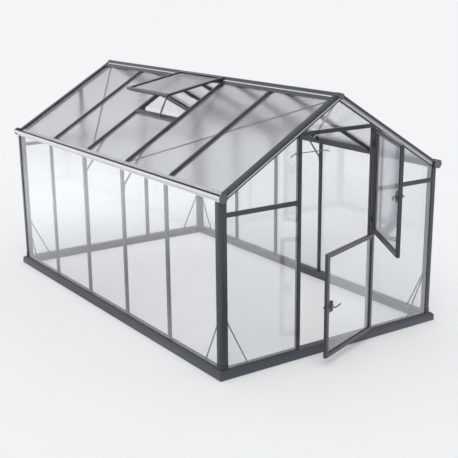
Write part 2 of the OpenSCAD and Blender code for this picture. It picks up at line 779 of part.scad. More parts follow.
// Corner braces: two thin bars from each corner post down to the base rails.
module corner_braces() {
    inset = corner_post + brace_t / 2 + seat_gap;
    run = brace_reach - inset;
    lift = seat_gap + brace_t / 2 * run / norm([run, brace_h - base_h]);
    color(steel) from_door() for (sx = [0, 1], sy = [0, 1]) mirror([sx, 0, 0]) mirror([0, sy, 0])
        translate([-wall_x, -wall_y, 0]) {
            bar_between([brace_in, inset, brace_h], [brace_in, brace_reach, base_h + lift], brace_t, brace_t);
            bar_between([inset, brace_in, brace_h], [brace_reach, brace_in, base_h + lift], brace_t, brace_t);
        }
}

// ---------------------------------------------------------------- door

// A leaf's own frame: x from the hinge axis towards the free edge, y inward, z up.
module on_leaf(angle) {
    translate([hinge_x, hinge_y, 0]) rotate([0, 0, angle]) mirror([1, 0, 0]) children();
}
function hinge_heights(z0, z1) = [z0 + hinge_inset, z1 - hinge_inset];

// A leaf: a rebated frame with a lock case, two rosettes and the upper halves of its hinges.
lock_u0 = handle_u - lock_w / 2;
module leaf_frame(z0, z1, angle, handle_z) {
    u0 = hinge_gap + leaf_bar;
    in_w = leaf_w - 2 * leaf_bar;
    in_h = z1 - z0 - 2 * leaf_bar;
    sunk = 0.5;
    color(anthracite) from_door() on_leaf(angle) difference() {
        union() {
            difference() {
                translate([hinge_gap, -leaf_t / 2, z0]) cube([leaf_w, leaf_t, z1 - z0]);
                translate([u0, -leaf_t, z0 + leaf_bar]) cube([in_w, 2 * leaf_t, in_h]);
                translate([u0 - rebate, -glass_zone / 2, z0 + leaf_bar - rebate])
                    cube([in_w + 2 * rebate, glass_zone, in_h + 2 * rebate]);
            }
            translate([lock_u0, -leaf_t / 2, handle_z - lock_h / 2])
                cube([u0 + in_w + rebate + eps - lock_u0, leaf_t, lock_h]);
            for (s = [-1, 1]) translate([handle_u, s * ((leaf_t + rosette_t) / 2 - sunk), handle_z])
                rotate([90, 0, 0]) cylinder(rosette_t + 2 * sunk, r = rosette_r, center = true);
            for (h = hinge_heights(z0, z1)) translate([0, 0, h + seat_gap]) {
                cylinder(knuckle_h, r = knuckle_r);
                translate([0, -hinge_web / 2, 0]) cube([hinge_gap + eps, hinge_web, knuckle_h]);
            }
        }
        translate([handle_u, 0, handle_z]) rotate([90, 0, 0])
            cylinder(2 * leaf_t, r = spindle_r + pin_gap, center = true);
        for (h = hinge_heights(z0, z1)) translate([0, 0, h - eps]) cylinder(2 * knuckle_h, r = pin_r + pin_gap);
    }
}
module leaf_glass(z0, z1, angle, handle_z) {
    g = leaf_bar - rebate + pane_gap;
    color(clear, 0.4) from_door() on_leaf(angle) difference() {
        translate([hinge_gap + g, -glass_t / 2, z0 + g]) cube([leaf_w - 2 * g, glass_t, z1 - z0 - 2 * g]);
        translate([lock_u0 - pane_gap, -glass_t, handle_z - lock_h / 2 - pane_gap])
            cube([leaf_w, 2 * glass_t, lock_h + 2 * pane_gap]);
    }
}
// Handle: a spindle with a hub at each end, a lever outside that points to the hinges and a short turn inside.
module leaf_handle(z, angle) {
    neck = leaf_t / 2 + lever_out;
    hub_r = 1.4 * lever_r;
    color(steel) from_door() on_leaf(angle) translate([handle_u, 0, z]) union() {
        rotate([90, 0, 0]) cylinder(2 * neck, r = spindle_r, center = true);
        for (s = [-1, 1]) translate([0, s * neck, 0]) rotate([90, 0, 0])
            cylinder(2 * hub_r, r = hub_r, center = true);
        translate([0, -neck, 0]) rotate([0, -90, 0]) cylinder(lever_l, r = lever_r);
        translate([0, neck, 0]) rotate([0, 135, 0]) cylinder(turn_l, r = lever_r);
    }
}
module lower_leaf_frame() { leaf_frame(lower_z0, lower_z1, lower_open, lower_handle_h); }
module lower_leaf_glass() { leaf_glass(lower_z0, lower_z1, lower_open, lower_handle_h); }
module lower_leaf_handle() { leaf_handle(lower_handle_h, lower_open); }
module upper_leaf_frame() { leaf_frame(upper_z0, door_top, upper_open, upper_handle_h); }
module upper_leaf_glass() { leaf_glass(upper_z0, door_top, upper_open, upper_handle_h); }
module upper_leaf_handle() { leaf_handle(upper_handle_h, upper_open); }

// The jamb's halves of the hinges: a knuckle with its pin on a short web.
module door_hinges() {
    side = 3;
    color(dark) from_door() for (z = concat(hinge_heights(lower_z0, lower_z1), hinge_heights(upper_z0, door_top)))
        translate([hinge_x, hinge_y, z - knuckle_h]) union() {
            cylinder(knuckle_h, r = knuckle_r);
            cylinder(2 * knuckle_h, r = pin_r);
            translate([-side, 0, 0]) cube([side + knuckle_r - eps, hinge_out - seat_gap, knuckle_h]);
        }
}

// A bent bar with a knob, on a block at the latch jamb's inner face.
module door_stay() {
    y = -wall_y + bar_d + seat_gap + stay_block / 2;
    left = -jamb_x - stay_block;
    right = left + stay_l;
    dx = stay_end * cos(stay_bend);
    dz = stay_end * sin(stay_bend);
    r = stay_r;
    color(steel) from_door() translate([0, y, stay_h]) union() {
        translate([-jamb_x, 0, 0]) cube([stay_block, stay_block, stay_block], center = true);
        rotate([90, 0, 0]) linear_extrude(2 * r, center = true) polygon([
            [left - dx, -dz - r], [left, -r], [right, -r], [right + dx, -dz - r],
            [right + dx, -dz + r], [right, r], [left, r], [left - dx, -dz + r]
        ]);
        translate([left - dx, 0, -dz]) rotate([90, 0, 0]) cylinder(4 * r, r = 2 * r, center = true);
    }
}

// ---------------------------------------------------------------- assembly

base_front();
base_back();
base_left();
base_right();
corner_posts();
side_bars_left();
side_bars_right();
gable_bars_back();
door_jambs();
door_header();
mid_bars_front();
mid_bars_back();
eave_beam_left();
eave_beam_right();
gutter_left();
gutter_right();
gutter_lips();
end_caps();
ridge_beam();
rafters_left();
rafters_right();
gable_rafters_front();
gable_rafters_back();
trim_strips();
wall_glass_left();
wall_glass_right();
gable_glass_front();
gable_glass_back();
roof_glass_left();
roof_glass_right();
vent_frame();
vent_glass();
vent_stay();
vent_rails();
wind_braces();
knee_braces();
corner_braces();
door_hinges();
door_stay();
lower_leaf_frame();
lower_leaf_glass();
lower_leaf_handle();
upper_leaf_frame();
upper_leaf_glass();
upper_leaf_handle();
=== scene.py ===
# %% [markdown]
# # A walk-in glass greenhouse
# The greenhouse was drawn in CAD first, so every bar and pane already has its size and place.
# This lesson loads that model as a fixed frame, gives each part the finish of the real one, and
# adds the small pieces that CAD leaves out: bolts, rubber strips, handles, clips and plastic feet.

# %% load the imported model
import math

import bpy
import bmesh
from mathutils import Matrix, Vector


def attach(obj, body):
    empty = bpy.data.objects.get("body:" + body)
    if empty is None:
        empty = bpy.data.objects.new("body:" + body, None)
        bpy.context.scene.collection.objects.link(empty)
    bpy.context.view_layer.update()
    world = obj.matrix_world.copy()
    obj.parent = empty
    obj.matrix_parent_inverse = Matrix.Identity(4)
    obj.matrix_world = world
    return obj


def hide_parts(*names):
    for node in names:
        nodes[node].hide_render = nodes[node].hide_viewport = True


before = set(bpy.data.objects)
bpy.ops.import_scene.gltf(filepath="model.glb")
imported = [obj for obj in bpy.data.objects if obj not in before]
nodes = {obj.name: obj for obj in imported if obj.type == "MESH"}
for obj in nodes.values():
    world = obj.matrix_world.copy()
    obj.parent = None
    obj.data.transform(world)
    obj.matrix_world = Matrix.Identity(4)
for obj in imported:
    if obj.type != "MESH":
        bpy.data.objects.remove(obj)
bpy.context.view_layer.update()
print("parts in the frame:", len(nodes))

# %% [markdown]
# The camera comes first, because every later choice is judged through it. It stands to the left of
# the door gable, a little above the ridge, and looks down by about 16 degrees. A long lens keeps
# the bars nearly parallel. The shift slides the picture without turning the camera.

# %% camera
CAMERA_AT = Vector((-4.6426, -5.3686, 2.8881))
YAW, PITCH, ROLL = 0.6136, 0.2825, -0.0044

forward = Vector((math.sin(YAW) * math.cos(PITCH), math.cos(YAW) * math.cos(PITCH), -math.sin(PITCH)))
level = Vector((math.cos(YAW), -math.sin(YAW), 0.0))
upright = level.cross(forward)
right = level * math.cos(ROLL) + upright * math.sin(ROLL)
up = right.cross(forward)

camera_data = bpy.data.cameras.new("camera")
camera_data.lens = 73.12
camera_data.shift_x = -0.0370
camera_data.shift_y = 0.0424
camera_data.clip_end = 200.0
camera = bpy.data.objects.new("camera", camera_data)
view_axes = Matrix((right, up, -forward)).transposed()
camera.matrix_world = Matrix.Translation(CAMERA_AT) @ view_axes.to_4x4()
bpy.context.scene.collection.objects.link(camera)
bpy.context.scene.camera = camera
print("camera at", tuple(round(c, 2) for c in camera.location))

# %% [markdown]
# Materials are node trees. Wiring them by hand is long, so this small class wraps one socket and
# gives it the plain sums: `1 - mask * 0.3` builds its Math nodes by itself. Every other node comes
# from one method, which takes the node's settings and what goes into its sockets.

# %% a socket that can do sums
class Flow:
    """One output socket of a node tree, with the sums that a finish needs."""

    def __init__(self, tree, socket):
        self.tree = tree
        self.socket = socket

    def _sum(self, operation, first, second):
        node = self.tree.nodes.new("ShaderNodeMath")
        node.operation = operation
        for slot, value in zip(node.inputs, (first, second)):
            if isinstance(value, Flow):
                self.tree.links.new(value.socket, slot)
            else:
                slot.default_value = value
        return Flow(self.tree, node.outputs[0])

    def __add__(self, other):
        return self._sum("ADD", self, other)

    def __mul__(self, other):
        return self._sum("MULTIPLY", self, other)

    def __sub__(self, other):
        return self._sum("SUBTRACT", self, other)

    def __rsub__(self, other):
        return self._sum("SUBTRACT", other, self)

    def __pow__(self, other):
        return self._sum("POWER", self, other)

    __radd__ = __add__
    __rmul__ = __mul__


print("sums ready: plus, minus, times and powers")

# %% a finish: a material with its tree
class Finish:
    """A material, or the sky, whose nodes are added by one method."""

    def __init__(self, name, owner=None):
        self.owner = owner or bpy.data.materials.new(name)
        self.owner.use_nodes = True
        self.tree = self.owner.node_tree
        self.tree.nodes.clear()
        kind = "ShaderNodeOutputWorld" if owner else "ShaderNodeOutputMaterial"
        self.output = self.tree.nodes.new(kind)

    def node(self, kind, settings=None, sockets=None, out=0):
        """Adds a node, sets its settings first and then its sockets, and returns one output."""
        node = self.tree.nodes.new("ShaderNode" + kind)
        for key, value in (settings or {}).items():
            setattr(node, key, value)
        for key, value in (sockets or {}).items():
            if isinstance(value, Flow):
                self.tree.links.new(value.socket, node.inputs[key])
            else:
                node.inputs[key].default_value = value
        return Flow(self.tree, node.outputs[out])

    def place(self):
        """The Object coordinate, in metres."""
        return self.node("TexCoord", out="Object")

    def height(self):
        """The height above the ground, in metres."""
        return self.node("SeparateXYZ", sockets={"Vector": self.place()}, out="Z")

    def noise(self, scale, detail=2.0, roughness=0.5, vector=None):
        """A grey value that wanders over the surface."""
        sockets = {"Vector": vector or self.place(), "Scale": scale, "Detail": detail,
                   "Roughness": roughness}
        return self.node("TexNoise", sockets=sockets, out="Fac")

    def spread(self, value, low, high):
        """Stretches a value from low..high to 0..1."""
        sockets = {"Value": value, "From Min": low, "From Max": high}
        return self.node("MapRange", {"clamp": True}, sockets, out="Result")

    def mix(self, amount, first, second):
        """Blends two colours."""
        sockets = {0: amount, 6: first, 7: second}
        return self.node("Mix", {"data_type": "RGBA"}, sockets, out=2)

    def shades(self, amount, colour, darkest, palest):
        """Blends a darker and a paler shade of one colour."""
        return self.mix(amount, *(rgba(*(c * by for c in colour)) for by in (darkest, palest)))

    def bump(self, height, strength, distance):
        """A relief that only the light notices."""
        sockets = {"Height": height, "Strength": strength, "Distance": distance}
        return self.node("Bump", sockets=sockets, out="Normal")

    def surface(self, shader):
        """Ends the tree with a shader and returns the material."""
        self.tree.links.new(shader.socket, self.output.inputs["Surface"])
        return self.owner


def rgba(r, g, b):
    return (r, g, b, 1.0)


print("finish kit ready")

# %% [markdown]
# **Powder coat.** The frame is aluminium, sprayed with anthracite powder and baked. Close up it has
# a fine orange peel, and it is satin, neither matt nor shiny. Near the ground it gathers a little
# dust. Noise of about a millimetre gives the peel, a broad noise makes the gloss uneven, and the
# height above the ground fades the dust in.

# %% powder coat
GROUND_DUST = (0.24, 0.245, 0.26)
DUST_TOP = 0.16


def powder_coat(name, colour, roughness):
    coat = Finish(name)
    cloudy = coat.noise(3.0, detail=4.0)
    peel = coat.noise(700.0, detail=1.0)
    low_down = 1.0 - coat.spread(coat.height(), 0.0, DUST_TOP)
    dust = low_down * coat.noise(26.0, detail=5.0, roughness=0.65)
    tone = coat.shades(cloudy, colour, 0.92, 1.08)
    tone = coat.mix(dust * 0.22, tone, rgba(*GROUND_DUST))
    shader = coat.node("BsdfPrincipled", sockets={
        "Base Color": tone,
        "Roughness": roughness + cloudy * 0.08 + dust * 0.25,
        "Specular IOR Level": 0.5,
        "Normal": coat.bump(peel, 0.10, 0.0004),
    })
    return coat.surface(shader)


ANTHRACITE = (0.030, 0.037, 0.051)
frame_coat = powder_coat("anthracite powder coat", ANTHRACITE, 0.27)
print("made", frame_coat.name)

# %% [markdown]
# **Moulded plastic.** Hinges, the feet of the corner posts and the button on the header are dark
# glass-filled nylon, the end caps are grey and the rosettes brown. Nylon is duller than powder coat
# and its skin has the soft grain of a blasted mould. Rubber is made alike, only duller and grainier.

# %% plastic and rubber
def moulded(name, colour, roughness, grain):
    plastic = Finish(name)
    skin = plastic.noise(420.0, detail=3.0)
    swirl = plastic.noise(14.0, detail=2.0)
    shader = plastic.node("BsdfPrincipled", sockets={
        "Base Color": plastic.shades(swirl, colour, 0.85, 1.15),
        "Roughness": roughness + swirl * 0.1,
        "Normal": plastic.bump(skin, grain, 0.0005),
    })
    return plastic.surface(shader)


dark_plastic = moulded("dark moulded nylon", (0.030, 0.033, 0.040), 0.50, 0.25)
grey_plastic = moulded("grey moulded nylon", (0.100, 0.108, 0.122), 0.46, 0.25)
brown_plastic = moulded("brown-grey moulded nylon", (0.085, 0.072, 0.062), 0.42, 0.20)
rubber = moulded("black glazing rubber", (0.016, 0.016, 0.018), 0.72, 0.45)
print("made", dark_plastic.name, grey_plastic.name, brown_plastic.name, rubber.name)

# %% [markdown]
# **Pale aluminium.** The gutters and the closing strips are aluminium with a clear anodised skin.
# The press leaves long fine lines in it, so the noise is stretched along the length. On the strips,
# faces that look out of a gable get a darker grey as painted shade, for the frame's shade that falls
# on them; a face shows this by where its normal points.

# %% pale aluminium
ALLOY = (0.74, 0.75, 0.77)
LENGTHWAYS, CROSSWAYS = 6.0, 900.0


def anodised(name, colour, along, ends=None):
    """Brushed aluminium. Faces that look out of a gable can get a darker colour, painted in as shade."""
    alloy = Finish(name)
    stretch = tuple(LENGTHWAYS if i == along else CROSSWAYS for i in range(3))
    stretched = alloy.node("Mapping", sockets={"Vector": alloy.place(), "Scale": stretch})
    lines = alloy.noise(1.0, detail=2.0, vector=stretched)
    stain = alloy.noise(5.0, detail=5.0, roughness=0.6)
    tone = alloy.shades(stain, colour, 0.93, 1.0)
    # Painted shade: faces that look out of a gable are blended towards the darker ends colour.
    if ends:
        normal = alloy.node("NewGeometry", out="Normal")
        outward = alloy.node("VectorMath", {"operation": "DOT_PRODUCT"}, {
            0: normal, 1: (0.0, 1.0, 0.0)}, out="Value")
        tone = alloy.mix(alloy.spread(outward * outward, 0.45, 0.60), tone, rgba(*ends))
    shader = alloy.node("BsdfPrincipled", sockets={
        "Base Color": tone,
        "Metallic": 0.25,
        "Roughness": 0.38 + lines * 0.14,
        "Normal": alloy.bump(lines, 0.08, 0.0003),
    })
    return alloy.surface(shader)


pale_alloy = anodised("pale anodised aluminium", ALLOY, 1)
# The ends colour is painted shade on the strips' faces that look out of a gable, which stand in the frame's
# shade.
shaded_strip_alloy = anodised("pale strips with painted shade on gable faces", ALLOY, 1, ends=(0.620, 0.630, 0.650))
print("made", pale_alloy.name, "and", shaded_strip_alloy.name)

# %% [markdown]
# **Plated steel.** The stays and the levers are zinc-plated steel: grey metal with faint crystal
# patches and a few dull marks. The bolts and the corner braces have the same skin, blackened. The
# cells of a Voronoi pattern are the nearest thing to zinc's crystals.

# %% plated steel
def plated(name, colour, metallic):
    zinc = Finish(name)
    patches = zinc.node("TexVoronoi", sockets={"Vector": zinc.place(), "Scale": 160.0}, out="Distance")
    marks = zinc.noise(40.0, detail=4.0)
    shader = zinc.node("BsdfPrincipled", sockets={
        "Base Color": zinc.shades(marks, colour, 0.8, 1.15),
        "Metallic": metallic,
        "Roughness": 0.34 + patches * 0.2 + marks * 0.1,
        "Normal": zinc.bump(patches, 0.06, 0.0003),
    })
    return zinc.surface(shader)


grey_steel = plated("grey plated steel", (0.20, 0.21, 0.23), 0.5)
bolt_steel = plated("blackened steel", (0.050, 0.054, 0.060), 0.6)
print("made", grey_steel.name, "and", bolt_steel.name)

# %% [markdown]
# ** Clear glass.** A pane shows what stands behind it and, the flatter one looks along it, the more
# of the pale sky it mirrors. Real refraction would be slow and would shut out the lamps, so each
# face is a Transparent shader mixed with a mirror. Schlick's rule sets the share: 3 to 7% head on,
# and more with the fifth power of the slant. The Fresnel node would do for the outer face, but on
# the inner one it thinks that the light leaves glass, and mirrors everything. A thin patchy film of
# dust keeps the pane from vanishing. Shadow rays skip both. The near wall is the clearest and the
# front gable less so. The far side wall and the back gable are tinted grey as painted shade, for the
# roof's shadow and reflections that darken the inside seen through them. The upper leaf is tinted a
# darker grey still, and has the most dust film, so that it stands out.

# %% clear glass
def clear_sheet(name, tint, film_share, shine=0.07):
    glass = Finish(name)
    film = glass.noise(1.7, detail=4.0)
    seen = glass.node("BsdfTransparent", sockets={"Color": tint})
    mirror = glass.node("BsdfPrincipled", sockets={
        "Base Color": rgba(0.96, 0.975, 1.0),
        "Metallic": 1.0,
        "Roughness": 0.03,
    })
    dust = glass.node("BsdfDiffuse", sockets={"Color": rgba(0.86, 0.875, 0.90)})
    slant = glass.node("LayerWeight", sockets={"Blend": 0.5}, out="Facing")
    share = shine + (1.0 - shine) * slant ** 5
    clean = glass.node("MixShader", sockets={0: share, 1: seen, 2: mirror})
    dusty = glass.node("MixShader", sockets={0: film_share + film * 0.04, 1: clean, 2: dust})
    lit = glass.node("LightPath", out="Is Shadow Ray")
    return glass.surface(glass.node("MixShader", sockets={0: lit, 1: dusty, 2: seen}))


wall_glass = clear_sheet("clear wall glass", rgba(0.995, 0.997, 1.0), 0.01, shine=0.05)
gable_glass = clear_sheet("clear gable glass", rgba(0.962, 0.967, 0.972), 0.04)
# Painted shade: the far wall and the back gable are tinted grey, for the roof's shadow and reflections that
# darken the inside seen through them.
shaded_far_glass = clear_sheet("grey far glass with painted shade", rgba(0.915, 0.922, 0.930), 0.05, shine=0.05)
# The upper leaf's glass has a darker grey tint than the other panes, and the most dust film.
dark_dusty_leaf_glass = clear_sheet("dark grey dusty leaf glass", rgba(0.785, 0.787, 0.794), 0.10, shine=0.03)
print("made", wall_glass.name, gable_glass.name, shaded_far_glass.name, dark_dusty_leaf_glass.name)

# %% [markdown]
# **Obscured glass.** The roof panes are hazy, so that the sun doesn't scorch the plants. What is
# close behind them still shows, and what is far away melts into soft blots. A rough transmission
# does this blur. Lamp light has to pass as well, so shadow rays see a plain pale filter instead.

# %% hazy roof glass
def hazy_sheet(name):
    glass = Finish(name)
    haze = glass.noise(2.4, detail=3.0)
    blurred = glass.node("BsdfPrincipled", sockets={
        "Base Color": rgba(0.83, 0.833, 0.833),
        "Roughness": 0.15 + haze * 0.03,
        "IOR": 1.25,
        "Transmission Weight": 1.0,
    })
    milky = glass.node("BsdfTransparent", sockets={"Color": rgba(0.90, 0.905, 0.91)})
    lit = glass.node("LightPath", out="Is Shadow Ray")
    return glass.surface(glass.node("MixShader", sockets={0: lit, 1: blurred, 2: milky}))


roof_glass = hazy_sheet("hazy roof glass")
print("made", roof_glass.name)

# %% [markdown]
# Each CAD part keeps its mesh and only gets a finish. The table below says which finish goes on
# which part, and anything not named is powder coated.

# %% dress the CAD parts
DRESS = {
    dark_plastic: ["end_caps", "door_hinges"],
    rubber: ["gutter_lips"],
    pale_alloy: ["gutter_left", "gutter_right"],
    shaded_strip_alloy: ["trim_strips"],
    bolt_steel: ["corner_braces"],
    grey_steel: ["vent_stay", "door_stay", "lower_leaf_handle", "upper_leaf_handle"],
    wall_glass: ["wall_glass_left"],
    gable_glass: ["gable_glass_front", "lower_leaf_glass"],
    shaded_far_glass: ["wall_glass_right", "gable_glass_back"],
    dark_dusty_leaf_glass: ["upper_leaf_glass"],
    roof_glass: ["roof_glass_left", "roof_glass_right", "vent_glass"],
}


def dress(thing, material):
    thing.data.materials.clear()
    thing.data.materials.append(material)


for thing in nodes.values():
    dress(thing, frame_coat)
for material, names in DRESS.items():
    for name in names:
        dress(nodes[name], material)
print("dressed", len(nodes), "parts")

# %% [markdown]
# From here on come the small pieces. Most are short solids of one section, rings turned about an
# axis, or bent rods, so one class grows them in a single mesh. Each method closes its solid and
# turns its faces outwards, and a small bevel catches the light along the edges.

# %% a mesh that grows
def rectangle(x0, y0, x1, y1):
    return [(x0, y0), (x1, y0), (x1, y1), (x0, y1)]


class Shape:
    """Closed solids gathered in one mesh, in metres."""

    def __init__(self):
        self.mesh = bmesh.new()

    def solid(self, corners, faces, bevel=0.0):
        """One closed solid. A bevel eases its sharp edges."""
        made = [self.mesh.verts.new(corner) for corner in corners]
        new = [self.mesh.faces.new([made[i] for i in face]) for face in faces]
        bmesh.ops.recalc_face_normals(self.mesh, faces=new)
        if bevel:
            sharp = dict.fromkeys(e for face in new for e in face.edges if e.calc_face_angle(0.0) > 0.5)
            bmesh.ops.bevel(self.mesh, geom=list(sharp), offset=bevel, segments=2, affect="EDGES")

    def prism(self, outline, place, length, bevel=0.0):
        """An outline in a place's x and y, drawn out along its z."""
        n = len(outline)
        corners = [place @ Vector((u, v, w)) for w in (0.0, length) for u, v in outline]
        sides = [(i, (i + 1) % n, (i + 1) % n + n, i + n) for i in range(n)]
        self.solid(corners, [tuple(range(n)), tuple(range(n, 2 * n))] + sides, bevel)

    def block(self, low, high, place=Matrix(), bevel=0.0):
        """A box between two corners of a place."""
        (x0, y0, z0), (x1, y1, z1) = low, high
        place = place @ Matrix.Translation((0, 0, z0))
        self.prism(rectangle(x0, y0, x1, y1), place, z1 - z0, bevel)

    def turned(self, outline, place, sides=32):
        """A loop of (radius, height) turned about a place's z. A radius of 0 closes on the axis."""
        corners, rings = [], []
        for r, w in outline:
            rings.append(len(corners))
            for i in range(sides if r else 1):
                a = 2 * math.pi * i / sides
                corners.append(place @ Vector((r * math.cos(a), r * math.sin(a), w)))
        faces = []
        for k in range(len(outline)):
            j = (k + 1) % len(outline)
            here, there = outline[k][0] > 0, outline[j][0] > 0
            for i in range(sides):
                n = (i + 1) % sides
                face = [rings[k] + (i if here else 0), rings[j] + (i if there else 0)]
                face += [rings[j] + n] if there else []
                face += [rings[k] + n] if here else []
                if len(face) > 2:
                    faces.append(face)
        self.solid(corners, faces)

    def rod(self, route, radii, sides=12, flat=1.0):
        """A round or oval rod along a route, with one radius for each point."""
        corners, across = [], None
        for i, point in enumerate(route):
            ahead = (route[min(i + 1, len(route) - 1)] - route[max(i - 1, 0)]).normalized()
            if across is None:
                across = ahead.orthogonal().normalized()
            across = (across - ahead * across.dot(ahead)).normalized()
            over = ahead.cross(across)
            for k in range(sides):
                a = 2 * math.pi * k / sides
                corners.append(point + (across * math.cos(a) + over * math.sin(a) * flat) * radii[i])
        faces = [tuple(range(sides)), tuple(range(len(corners) - sides, len(corners)))]
        for i in range(len(route) - 1):
            for k in range(sides):
                n = (k + 1) % sides
                faces.append((i * sides + k, i * sides + n, (i + 1) * sides + n, (i + 1) * sides + k))
        self.solid(corners, faces)

    def piece(self, name, material, body, hides=()):
        """Makes the mesh a piece of the model, which rides on a body and may stand for CAD parts."""
        mesh = bpy.data.meshes.new(name)
        self.mesh.to_mesh(mesh)
        self.mesh.free()
        return hand_over(mesh, name, material, body, hides)


print("shapes ready")

# %% [markdown]
# Every piece ends alike. Its round faces are smoothed and its sharp edges kept, it gets its finish,
# and the frame is told which body carries it and which plain CAD part it stands in for. One function
# does this, so that no piece misses a step.

# %% hand a piece over
def hand_over(mesh, name, material, body, hides=()):
    """Makes a mesh a piece: its finish, the body it rides on, and the parts it replaces."""
    mesh.shade_smooth()
    mesh.set_sharp_from_angle(angle=math.radians(35.0))
    thing = bpy.data.objects.new(name, mesh)
    bpy.context.scene.collection.objects.link(thing)
    dress(thing, material)
    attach(thing, body)
    if hides:
        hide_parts(*hides)
    print(name, len(mesh.polygons), "faces")
    return thing


print("pieces can be handed over")

# %% [markdown]
# Bent rods need a path without corners. A curve object could give one. A few sums do it as well
# and keep the points at hand, because the spline passes through every point that it is given.

# %% smooth routes
def smooth_route(points, steps=6):
    """Rounds the corners of a route with a Catmull-Rom spline through its points."""
    p = [points[0]] + list(points) + [points[-1]]
    route = []
    for a, b, c, d in zip(p, p[1:], p[2:], p[3:]):
        for i in range(steps):
            t = i / steps
            route.append(0.5 * (2 * b + (c - a) * t + (2 * a - 5 * b + 4 * c - d) * t ** 2
                                + (3 * b - a - 3 * c + d) * t ** 3))
    return route + [points[-1]]


print("routes ready")

# %% [markdown]
# The pieces are placed in the building's own frames: a roof slope, where x runs down from the
# ridge and z points out of the roof, the open vent, and a door leaf, where x runs from the hinge
# towards the free edge. Mirrored frames are fine, because every solid has its normals worked out
# after it is placed.

# %% places
WALL_X, FRONT_Y, BACK_Y = 1.100, -0.015, 3.715
BAR_YS = (0.77, 1.49, 2.21, 2.93)
BASE_H, POST_W, BAR_HALF, EAVE_Z = 0.070, 0.060, 0.015, 1.364
JAMB_X, JAMB_W, MID_BAR_Z = 0.370, 0.028, 1.260
ROOF_ANGLE = math.radians(31.0)
RIDGE_Z = 1.431 + 1.035 * math.tan(ROOF_ANGLE)
HEAD_BELOW, VERGE_OUT, VERGE_W, VERGE_RISE = 0.047, 0.022, 0.058, 0.006
GUTTER_X0, GUTTER_X1, GUTTER_Z0, GUTTER_Z1 = 1.0604, 1.1164, 1.3734, 1.4134
VENT_OPEN, VENT_S, VENT_UP = math.radians(20.0), 0.034, 0.007
VENT_L, VENT_BAR, VENT_T, VENT_Y0, VENT_Y1 = 0.600, 0.030, 0.018, BAR_YS[1], BAR_YS[2]
HINGE = Vector((0.372, -0.037, 0.0))
# For each leaf: how far it stands open, in degrees, and how high its handle is.
LEAVES = {"lower": (20.0, 0.485), "upper": (61.0, 1.365)}
LEAF_EDGE, LEAF_BAR, LEAF_HALF, HANDLE_U = 0.008, 0.032, 0.013, 0.685


def on_side(side):
    """The house itself at side 1, and its mirror image at -1."""
    return Matrix.Diagonal((side, 1, 1, 1))


def on_roof(side):
    tilt = Matrix.Translation((0, 0, RIDGE_Z)) @ Matrix.Rotation(ROOF_ANGLE, 4, "Y")
    return on_side(side) @ tilt


def roof_z(x, below=0.0):
    """The height of the roof, or of a line some way below it, at a distance from the middle."""
    return RIDGE_Z - abs(x) * math.tan(ROOF_ANGLE) - below / math.cos(ROOF_ANGLE)


def on_leaf(which):
    angle = math.radians(LEAVES[which][0])
    return Matrix.Translation(HINGE) @ Matrix.Rotation(angle, 4, "Z") @ on_side(-1)


def on_gable(side):
    """x along the gable, y into the building, z up. side is -1 at the door and 1 at the back."""
    return Matrix.Translation((0, BACK_Y if side > 0 else FRONT_Y, 0)) @ Matrix.Diagonal((1, -side, 1, 1))


def on_corner(sx, sy, z=0.0):
    """A corner post, with x and y into the building. sy is 1 at the door and -1 at the back."""
    y = FRONT_Y if sy > 0 else BACK_Y
    return Matrix.Translation((sx * WALL_X, y, z)) @ Matrix.Diagonal((-sx, sy, 1, 1))


def lengthwise(y):
    """A place for an outline in x and z that is drawn out along y."""
    return Matrix(((1, 0, 0, 0), (0, 0, 1, y), (0, 1, 0, 0), (0, 0, 0, 1)))


def along(direction, origin):
    """A place whose z points in a direction."""
    return Matrix.Translation(origin) @ Vector(direction).to_track_quat("Z", "Y").to_matrix().to_4x4()


def spans(node, place):
    """The lowest and highest corner of a CAD part, measured in a place's own frame."""
    back = place.inverted()
    found = [back @ v.co for v in nodes[node].data.vertices]
    return [Vector(pick(p[i] for p in found) for i in range(3)) for pick in (min, max)]


ON_VENT = on_roof(-1) @ Matrix.Translation((VENT_S, 0, VENT_UP)) @ Matrix.Rotation(-VENT_OPEN, 4, "Y")
leaf_spans = {which: spans(which + "_leaf_frame", on_leaf(which)) for which in LEAVES}
print("ridge at", round(RIDGE_Z, 4))
for which, (low, high) in leaf_spans.items():
    print(which, "leaf reaches", [round(c, 3) for c in high])

# %% [markdown]
# **Geometry Nodes** make whatever repeats or follows a line. A recipe is a node tree with named
# sizes. It is run on a bare mesh of points or edges, and the outcome is frozen into a plain mesh,
# because an exporter drops live instances.

